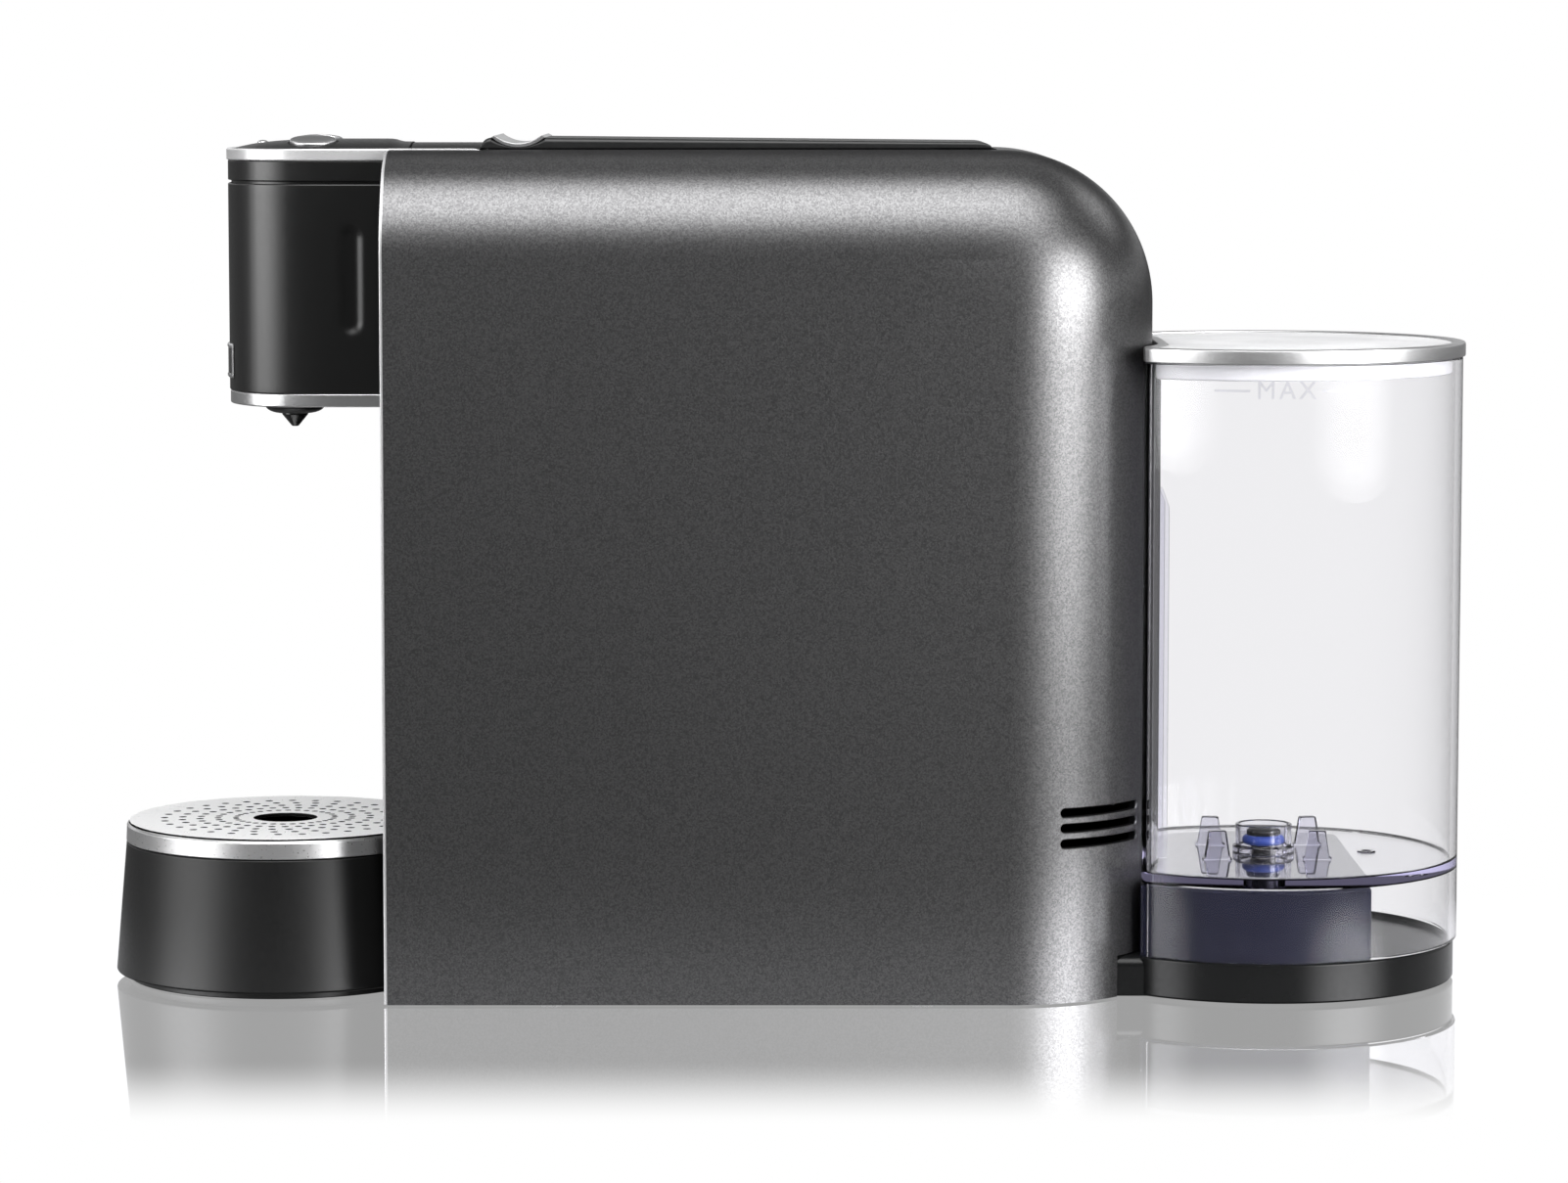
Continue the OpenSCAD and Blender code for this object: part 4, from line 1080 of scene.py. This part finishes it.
def d_outline(r, o, gap, rear=None, corner=1.2, n=96, channel=True):
    """tank plan: a circle with a flat front and a channel that follows the back of the body, stepped in by o"""
    R, f = r - o, 104.9 + o
    rc, yb = 44 + gap + o, 109 + gap + o
    xk = math.sqrt(R * R - (f - TY) ** 2)
    pts = []
    a0 = math.degrees(math.atan2(f - TY, xk))
    if rear is None:
        for i in range(n + 1):
            a = math.radians(a0 + (180 - 2 * a0) * i / n)
            pts.append((R * math.cos(a), TY + R * math.sin(a)))
        corners = [0, n]
    else:
        b = math.degrees(math.asin((rear - o - TY) / R))
        h = n // 2
        for i in range(h + 1):
            a = math.radians(a0 + (b - a0) * i / h)
            pts.append((R * math.cos(a), TY + R * math.sin(a)))
        for k in range(1, 8):
            x = R * math.cos(math.radians(b))
            pts.append((x - 2 * x * k / 8, rear - o))
        for i in range(h + 1):
            a = math.radians(180 - b + (b - a0) * i / h)
            pts.append((R * math.cos(a), TY + R * math.sin(a)))
        corners = [0, h, h + 8, 2 * h + 8]
    if channel:
        xc = 15 + math.sqrt(rc * rc - (f - 65) ** 2)
        c0 = math.degrees(math.atan2(f - 65, xc - 15))
        for k in (1, 2, 3):
            pts.append((-xk + (xk - xc) * k / 4, f))
        corners.append(len(pts))
        for i in range(15):
            a = math.radians(180 - c0 + (c0 - 90) * i / 14)
            pts.append((-15 + rc * math.cos(a), 65 + rc * math.sin(a)))
        for k in range(1, 6):
            pts.append((-15 + 30 * k / 6, yb))
        for i in range(15):
            a = math.radians(90 + (c0 - 90) * i / 14)
            pts.append((15 + rc * math.cos(a), 65 + rc * math.sin(a)))
        corners.append(len(pts) - 1)
        for k in (1, 2, 3):
            pts.append((xc + (xk - xc) * k / 4, f))
    else:
        for k in range(1, 24):
            pts.append((-xk + 2 * xk * k / 24, f))
    if corner <= 0:
        return pts
    # round each corner with a small curve between points at the same distance from it
    total = len(pts)

    def walk(i, step, dist):
        p = Vector(pts[i])
        left = dist
        while True:
            j = (i + step) % total
            q = Vector(pts[j])
            l = (q - p).length
            if l >= left:
                return p + (q - p) * (left / l), j
            left -= l
            p, i = q, j
    out = {}
    drop = set()
    for c in corners:
        a, ja = walk(c, -1, corner)
        b, jb = walk(c, 1, corner)
        k = (ja + 1) % total
        while k != jb:
            drop.add(k)
            k = (k + 1) % total
        mid = Vector(pts[c])
        curve = []
        for t in [i / 6 for i in range(7)]:
            curve.append(tuple(a * (1 - t) ** 2 + mid * 2 * t * (1 - t) + b * t * t))
        out[c] = curve
    final = []
    for i in range(total):
        if i in out:
            final.extend(out[i])
        elif i not in drop:
            final.append(pts[i])
    return final


def even(points, n=360):
    """the same closed outline with n points evenly along it, starting at the front middle"""
    total = [0.0]
    m = len(points)
    for i in range(m):
        total.append(total[-1] + math.dist(points[i], points[(i + 1) % m]))
    out = []
    j = 0
    for k in range(n):
        d = total[-1] * k / n
        while total[j + 1] < d:
            j += 1
        t = (d - total[j]) / max(1e-9, total[j + 1] - total[j])
        a, b = points[j], points[(j + 1) % m]
        out.append((a[0] + (b[0] - a[0]) * t, a[1] + (b[1] - a[1]) * t))
    return out


def d_rings(r, gap, levels, **kw):
    """rings at (z, inset), or (z, inset, gap) where the channel's gap differs; every outline has the same points"""
    levels = [(*l, gap)[:3] for l in levels]
    base = [d_outline(r, o, g, **kw) for z, o, g in levels]
    if len({len(b) for b in base}) > 1:
        base = [even(b) for b in base]
    return [[(x, y, z) for x, y in b] for b, (z, o, g) in zip(base, levels)]


def build_tank():
    levels = [(34.7, 2.6), (34.3, 2.2), (13.1, 2.2), (12.8, 2.0), (12.7, 1.7), (12.7, 0.5), (12.8, 0.18), (13.1, 0.0),
              (188.2, 0.0), (188.55, 0.15), (188.7, 0.5), (188.7, 1.7), (188.55, 2.05), (188.2, 2.2), (38.3, 2.2), (37.6, 2.45), (37.3, 3.1)]
    o = loft("clear_water_tank", d_rings(59.35, 0.8, levels, corner=1.6))
    y = 145.0
    spigot = lathe("b", rounded([(0, 35.5), (6.6, 35.5), (6.6, 27.0), (5.4, 27.0), (5.4, 34.7), (0, 34.7)], [0, 0, 0.4, 0.4, 0, 0], closed=False, step=20), 0, y, 80, closed=False)
    cut(o, spigot, "UNION")
    cut(o, lathe("c", [(0, 30), (4.2, 30), (4.2, 42), (0, 42)], 0, y, 64, closed=False))
    chamber = lathe("valve_chamber", rounded([(4.3, 37.33), (9.4, 37.33), (9.4, 39.4), (8.5, 39.9), (8.5, 46.2), (7.4, 46.2), (7.4, 37.56), (4.3, 37.56)],
                                             [0, 0.2, 0.5, 0.3, 0.35, 0.35, 0.15, 0], step=20), 0, y, 96)
    dress(chamber, "tank", SMOKE_LIGHT, angle=30)
    fins = []
    for sx in (-1, 1):
        for k, fy in enumerate((129.8, 159.8)):
            prof = rounded([(-4.4, 37.33), (4.4, 37.33), (4.4, 37.75), (3.75, 38.35), (2.5, 46.2), (-2.5, 46.2), (-3.75, 38.35), (-4.4, 37.75)], [0, 0, 0.15, 0.3, 0.7, 0.7, 0.3, 0.15], step=18)
            rings = []
            for t, e in ((-1.4, 0.3), (-1.1, 0.0), (1.1, 0.0), (1.4, 0.3)):
                ring = [((sx * 15 + t), fy + a * (1 - e / 5), 37.33 + (b - 37.33) * (1 - e / 10)) for a, b in prof]
                yaw = math.radians((8 if k == 0 else -8) * sx)
                ring = [(sx * 15 + (px - sx * 15) * math.cos(yaw) - (py - fy) * math.sin(yaw), fy + (px - sx * 15) * math.sin(yaw) + (py - fy) * math.cos(yaw), pz) for px, py, pz in ring]
                rings.append(ring)
            fins.append(loft("fin", rings))
    dress(joined("tank_floor_fins", fins), "tank", SMOKE, angle=30)
    ribs = []
    for sx in (-1, 1):
        prof = rounded([(112.05, 37.33), (114.9, 37.33), (114.9, 143.5), (112.9, 149.5), (112.05, 149.5)], [0, 0, 1.2, 0.8, 0], step=18)
        ribs.append(loft("rib", [[(sx * 11 + t, py, pz) for py, pz in prof] for t in (-1.2, 1.2)]))
    dress(joined("tank_guide_ribs", ribs), "tank", SMOKE_LIGHT, angle=30)
    # moulding gate: a shallow ring in the floor
    gate = lathe("g", rounded([(1.0, 37.0), (3.0, 37.0), (2.7, 37.75), (1.4, 37.75)], [0, 0, 0.2, 0.2], step=30), 0, 176.4, 48)
    cut(o, gate, "UNION")
    dress(o, "tank", CLEAR, angle=30)

    # fill mark on both flanks: raised generic lettering between two lines
    made = []
    for side in (1, -1):
        curve = bpy.data.curves.new("t", "FONT")
        curve.body = "MAX"
        curve.size = 0.0074
        curve.align_x = "CENTER"
        curve.align_y = "CENTER"
        curve.space_character = 1.25
        curve.extrude = 0.00012
        curve.resolution_u = 6
        t = bpy.data.objects.new("t", curve)
        scene.collection.objects.link(t)
        dg = bpy.context.evaluated_depsgraph_get()
        me = bpy.data.meshes.new_from_object(t.evaluated_get(dg), depsgraph=dg)
        bpy.data.objects.remove(t)
        pts, faces = [], []
        lo = min(v.co.x for v in me.vertices)
        hi = max(v.co.x for v in me.vertices)
        for v in me.vertices:
            s = v.co.x / MM * (17.0 / ((hi - lo) / MM))
            pts.append((s, v.co.z / MM, v.co.y / MM))
        faces = [tuple(p.vertices) for p in me.polygons]
        for a, b in ((-21.0, -10.6), (10.6, 21.0)):
            k0 = len(pts)
            steps = 14
            for i in range(steps + 1):
                s = a + (b - a) * i / steps
                pts += [(s, -0.12, -0.35), (s, 0.12, -0.35), (s, 0.12, 0.35), (s, -0.12, 0.35)]
            for i in range(steps):
                for j in range(4):
                    p, q = k0 + 4 * i + j, k0 + 4 * i + (j + 1) % 4
                    faces.append((p, q, q + 4, p + 4))
            faces += [(k0, k0 + 3, k0 + 2, k0 + 1), (k0 + 4 * steps, k0 + 4 * steps + 1, k0 + 4 * steps + 2, k0 + 4 * steps + 3)]
        bent = []
        for s, d, h in pts:
            r = 59.35 + 0.14 + d
            a = s / 59.35
            bent.append((side * r * math.cos(a), TY + 1.0 + side * (r * math.sin(a)) * side * (1 if side > 0 else -1), 181.4 + h))
        made.append(mesh_object("mark", bent, faces, weld=1e-8))
    o = joined("fill_mark", made)
    dress(o, "tank", FROST, replace=False, angle=25)


def build_lid():
    levels = [(189.35, 0.0), (192.6, 0.0), (193.1, 0.2), (193.3, 0.7), (193.3, 3.5, 0.6), (193.15, 3.85, 0.6), (192.8, 4.0, 0.6), (189.3, 4.0, 0.6), (189.0, 3.7, 0.6), (189.0, 0.35), (189.1, 0.1)]
    dress(loft("lid_ring", d_rings(60.1, 1.5, levels, corner=1.6), closed=True), "tank_lid_ring", LID_SILVER, angle=35)
    levels = [(189.4, 6.2), (189.1, 5.6), (184.4, 5.6), (184.0, 5.2), (184.0, 4.5), (184.4, 4.06), (192.5, 4.06), (192.85, 4.4), (192.85, 6.0), (192.7, 6.8)]
    dress(loft("lid_panel", d_rings(60.1, 0.6, levels, corner=1.6)), "tank_lid_plate", LIDCLEAR, angle=35)


def build_valve():
    y = 145.0
    prof = rounded([(0, 30.6), (4.8, 30.6), (4.8, 31.8), (3.55, 32.2), (3.55, 39.1), (4.0, 39.3), (4.0, 40.0), (3.55, 40.3), (3.55, 42.8), (5.15, 42.85), (5.15, 44.3), (3.6, 44.75), (1.8, 44.92), (0, 44.95)],
                   [0, 0.3, 0.3, 0, 0, 0.1, 0.1, 0, 0.2, 0.3, 0.6, 0, 0, 0], closed=False, step=18)
    dress(lathe("valve_stem", prof, 0, y, 96, closed=False), "valve_plunger", VALVE_BLACK, angle=40)
    prof = [(5.02 + 1.42 * math.cos(2 * math.pi * i / 28), 41.33 + 1.42 * math.sin(2 * math.pi * i / 28)) for i in range(28)]
    dress(lathe("valve_ring", prof, 0, y, 128), "valve_seal", BY_SLOT["seal_blue"], angle=60)


def build_base():
    levels = [(0.6, 1.0), (0.75, 0.45), (1.3, 0.0), (11.6, 0.0), (12.1, 0.15), (12.35, 0.45), (12.4, 0.8), (12.4, 1.45), (12.25, 1.75), (11.6, 1.9), (11.35, 2.2), (11.3, 2.8)]
    disc = loft("disc", d_rings(58.4, 0, levels, corner=1.2, channel=False))
    prof = rounded([(-44, 0.6), (44, 0.6), (44, 12.4), (-44, 12.4)], [0.4, 0.4, 3.2, 3.2], step=12)
    neck = loft("neck", [[(x * k, y, 6.5 + (z - 6.5) * k) for x, z in prof] for y, k in ((92, 0.99), (92.4, 1.0), (112, 1.0))])
    lugs = []
    for s in (-1, 1):
        p = rounded([(s * 8, 4.05), (s * 30, 4.05), (s * 30, 7), (s * 8, 7)], 0.4, step=25)
        lugs.append(loft("lug", [[(x, y, z) for x, z in p] for y in (80, 93)]))
    o = joined("tank_stand", [disc, neck] + lugs)
    dress(o, "tank_base", BASE_BLACK, angle=35)
    levels = [(11.35, 0.0), (32.6, 0.0), (33.25, 0.25), (33.6, 0.9)]
    o = loft("dock_housing", d_rings(55.3, 4.0, levels, corner=1.6, rear=172.5))
    cut(o, lathe("bore", [(0, 22), (7.6, 22), (7.6, 33.1), (8.1, 33.7), (8.1, 36), (0, 36)], 0, 145, 96, closed=False))
    pin = lathe("pin", rounded([(0, 20.5), (1.5, 20.5), (1.5, 30.2), (0, 30.2)], [0, 0, 0.6, 0], closed=False, step=20), 0, 145, 40, closed=False)
    web = box("web", (-7.9, 144.3, 22), (7.9, 145.7, 24))
    dress(joined("dock_body", [o, pin, web]), "dock_block", NAVY, angle=35)


build_body()
build_front_trim()
build_casing()
c_band("head_band", "head_frame", 0.3, 2.3, -116.9, 241.6, 247.6, SATIN_HEAD)
c_band("housing_band", "outlet_bottom_ring", 0.5, 3.0, -117, 174.8, 178.75, SILVER, 0.45)
build_top_ring()
build_panel()
build_buttons()
build_badge()
build_spout()
build_lever()
build_tray()
build_tank()
build_lid()
build_valve()
build_base()
refine("front_panel", SATIN, 0.4)
refine("capsule_bin", SATIN_TRAY, 0.5)
refine("base_plate", SATIN, 0.25)
refine("outlet_floor", SATIN, 0.25)
refine("port_shutter", PANEL, 0.3)
refine("cord_gland", BY_SLOT["foot_rubber"], 0.4)
refine("feet", BY_SLOT["foot_rubber"], 0.2)


# ---------------------------------------------------------------- studio
def plain_sight(t, node):
    """1 for rays that reach the room straight from the camera or through clear plastic"""
    path = t.nodes.new("ShaderNodeLightPath")
    first = node("MAXIMUM", path.outputs["Is Camera Ray"], path.outputs["Is Transmission Ray"])
    clean = node("LESS_THAN", path.outputs["Diffuse Depth"], 0.5)
    straight = node("LESS_THAN", path.outputs["Glossy Depth"], 0.5)
    edge = node("MULTIPLY", node("LESS_THAN", path.outputs["Glossy Depth"], 2.5), node("LESS_THAN", path.outputs["Transmission Depth"], 3.5))
    return node("MULTIPLY", node("MULTIPLY", first, clean), node("MAXIMUM", straight, edge))


def floor_material():
    """pale table whose polish shows only close to the machine"""
    m = bpy.data.materials.new("studio_floor")
    m.use_nodes = True
    t = m.node_tree
    t.nodes.clear()
    out = t.nodes.new("ShaderNodeOutputMaterial")
    seen = t.nodes.new("ShaderNodeEmission")
    seen.inputs[1].default_value = 1.0
    spill = t.nodes.new("ShaderNodeEmission")
    spill.inputs[1].default_value = 0.17
    gloss = t.nodes.new("ShaderNodeBsdfGlossy")
    gloss.inputs["Color"].default_value = (0.98, 0.98, 1.0, 1)
    gloss.inputs["Roughness"].default_value = 0.0
    pick = t.nodes.new("ShaderNodeMixShader")
    mix = t.nodes.new("ShaderNodeMixShader")
    coord = t.nodes.new("ShaderNodeTexCoord")
    sep = t.nodes.new("ShaderNodeSeparateXYZ")
    t.links.new(coord.outputs["Object"], sep.inputs[0])

    def node(op, a, b=None):
        n = t.nodes.new("ShaderNodeMath")
        n.operation = op
        for i, v in enumerate((a, b)):
            if isinstance(v, (int, float)):
                n.inputs[i].default_value = v
            elif v is not None:
                t.links.new(v, n.inputs[i])
        return n.outputs[0]

    def fade(v, near, far, a=1.0, b=0.0):
        n = t.nodes.new("ShaderNodeMapRange")
        n.interpolation_type = "SMOOTHSTEP"
        for k, x in (("From Min", near), ("From Max", far), ("To Min", a), ("To Max", b)):
            n.inputs[k].default_value = x
        t.links.new(v, n.inputs["Value"])
        return n.outputs[0]

    fx = fade(sep.outputs[0], 0.140, 0.235)
    bx = fade(sep.outputs[0], -0.16, -0.06, 0.0, 1.0)
    fy = fade(node("ABSOLUTE", sep.outputs[1]), 0.24, 0.36)
    facing = t.nodes.new("ShaderNodeLayerWeight")
    facing.inputs[0].default_value = 0.5
    low = fade(facing.outputs["Facing"], 0.58, 0.80, 0.04, 1.0)
    f = node("MULTIPLY", node("MULTIPLY", node("MULTIPLY", fx, bx), fy), low)
    t.links.new(node("MULTIPLY", f, 0.66), mix.inputs[0])
    t.links.new(plain_sight(t, node), pick.inputs[0])
    t.links.new(spill.outputs[0], pick.inputs[1])
    t.links.new(seen.outputs[0], pick.inputs[2])
    t.links.new(pick.outputs[0], mix.inputs[1])
    t.links.new(gloss.outputs[0], mix.inputs[2])
    t.links.new(mix.outputs[0], out.inputs[0])
    return m


def build_floor():
    n = 96
    verts, faces = [(0, 0, 0)], []
    radii = (0.5, 2, 8, 40)
    for r in radii:
        for i in range(n):
            a = 2 * math.pi * i / n
            verts.append((r * math.cos(a), r * math.sin(a), 0))
    for i in range(n):
        faces.append((0, 1 + i, 1 + (i + 1) % n))
        for k in range(len(radii) - 1):
            a, b = 1 + k * n, 1 + (k + 1) * n
            faces.append((a + i, b + i, b + (i + 1) % n, a + (i + 1) % n))
    me = bpy.data.meshes.new("floor")
    me.from_pydata(verts, [], faces)
    o = bpy.data.objects.new("floor", me)
    me.materials.append(floor_material())
    scene.collection.objects.link(o)


def area(name, azimuth, distance, height, sx, sy, radiance, edge=0.38):
    """a softbox that fades towards its edges; azimuth 0 is on the +X side and 90 on the +Y side"""
    d = bpy.data.lights.new(name, "AREA")
    d.shape = "RECTANGLE"
    d.size, d.size_y = sx, sy
    d.energy = radiance * math.pi * sx * sy
    d.use_nodes = True
    t = d.node_tree
    em = next(n for n in t.nodes if n.type == "EMISSION")
    geo = t.nodes.new("ShaderNodeNewGeometry")
    sep = t.nodes.new("ShaderNodeSeparateXYZ")
    t.links.new(geo.outputs["Parametric"], sep.inputs[0])
    total = None
    for c in (0, 1):
        for a, b in ((0.0, edge), (1.0, 1.0 - edge)):
            n = t.nodes.new("ShaderNodeMapRange")
            n.interpolation_type = "SMOOTHSTEP"
            n.inputs["From Min"].default_value = a
            n.inputs["From Max"].default_value = b
            t.links.new(sep.outputs[c], n.inputs["Value"])
            if total is None:
                total = n.outputs[0]
            else:
                m = t.nodes.new("ShaderNodeMath")
                m.operation = "MULTIPLY"
                t.links.new(total, m.inputs[0])
                t.links.new(n.outputs[0], m.inputs[1])
                total = m.outputs[0]
    t.links.new(total, em.inputs["Strength"])
    o = bpy.data.objects.new(name, d)
    a = math.radians(azimuth)
    o.location = (distance * math.cos(a), distance * math.sin(a), height)
    o.rotation_euler = (Vector((0, 0, 0.12)) - o.location).to_track_quat("-Z", "Y").to_euler()
    o.visible_camera = False
    scene.collection.objects.link(o)
    return o


def build_studio():
    area("softbox_rear_right", 50, 1.9, 0.50, 2.15, 1.9, 18.5, 0.47)
    area("softbox_front_right", -66, 1.9, 0.55, 2.05, 1.9, 9.6)
    area("softbox_rear_left", 120, 1.5, 1.40, 1.3, 1.1, 2.6)
    area("softbox_front_left", -122, 1.5, 1.40, 1.3, 1.1, 2.6)
    area("strip_right", 0, 1.02, 1.96, 3.2, 2.90, 7.8, 0.43)
    area("strip_left", 180, 1.12, 1.78, 3.0, 1.30, 0.6)
    area("overhead", 90, 0.02, 2.30, 1.5, 1.50, 0.3)
    w = bpy.data.worlds.new("studio")
    scene.world = w
    w.use_nodes = True
    t = w.node_tree
    t.nodes.clear()
    out = t.nodes.new("ShaderNodeOutputWorld")
    seen = t.nodes.new("ShaderNodeBackground")
    seen.inputs[0].default_value = (1, 1, 1, 1)
    seen.inputs[1].default_value = 1.0
    fill = t.nodes.new("ShaderNodeBackground")
    fill.inputs[0].default_value = (0.99, 0.995, 1.0, 1)
    coord = t.nodes.new("ShaderNodeTexCoord")
    sep = t.nodes.new("ShaderNodeSeparateXYZ")
    t.links.new(coord.outputs["Generated"], sep.inputs[0])

    def node(op, a, b):
        n = t.nodes.new("ShaderNodeMath")
        n.operation = op
        for i, v in enumerate((a, b)):
            if isinstance(v, (int, float)):
                n.inputs[i].default_value = v
            else:
                t.links.new(v, n.inputs[i])
        return n.outputs[0]

    def fade(v, near, far):
        n = t.nodes.new("ShaderNodeMapRange")
        n.interpolation_type = "SMOOTHSTEP"
        for k, x in (("From Min", near), ("From Max", far), ("To Min", 1.0), ("To Max", 0.0)):
            n.inputs[k].default_value = x
        t.links.new(v, n.inputs["Value"])
        return n.outputs[0]

    # a white backdrop stands low behind the machine; the rest of the room is dim
    band = node("MULTIPLY", fade(sep.outputs[2], 0.23, 0.28), node("SUBTRACT", 1.0, fade(sep.outputs[2], 0.065, 0.110)))
    band = node("MULTIPLY", band, fade(sep.outputs[0], 0.0, 0.45))
    room = node("ADD", node("MULTIPLY", band, 0.98), 0.072)
    # the polished table mirrors plain white wherever nothing stands on it
    path = t.nodes.new("ShaderNodeLightPath")
    mirror = node("MULTIPLY", path.outputs["Is Singular Ray"], path.outputs["Is Glossy Ray"])
    t.links.new(node("MAXIMUM", room, mirror), fill.inputs[1])
    mix = t.nodes.new("ShaderNodeMixShader")
    t.links.new(plain_sight(t, node), mix.inputs[0])
    t.links.new(fill.outputs[0], mix.inputs[1])
    t.links.new(seen.outputs[0], mix.inputs[2])
    t.links.new(mix.outputs[0], out.inputs[0])


build_floor()
build_studio()
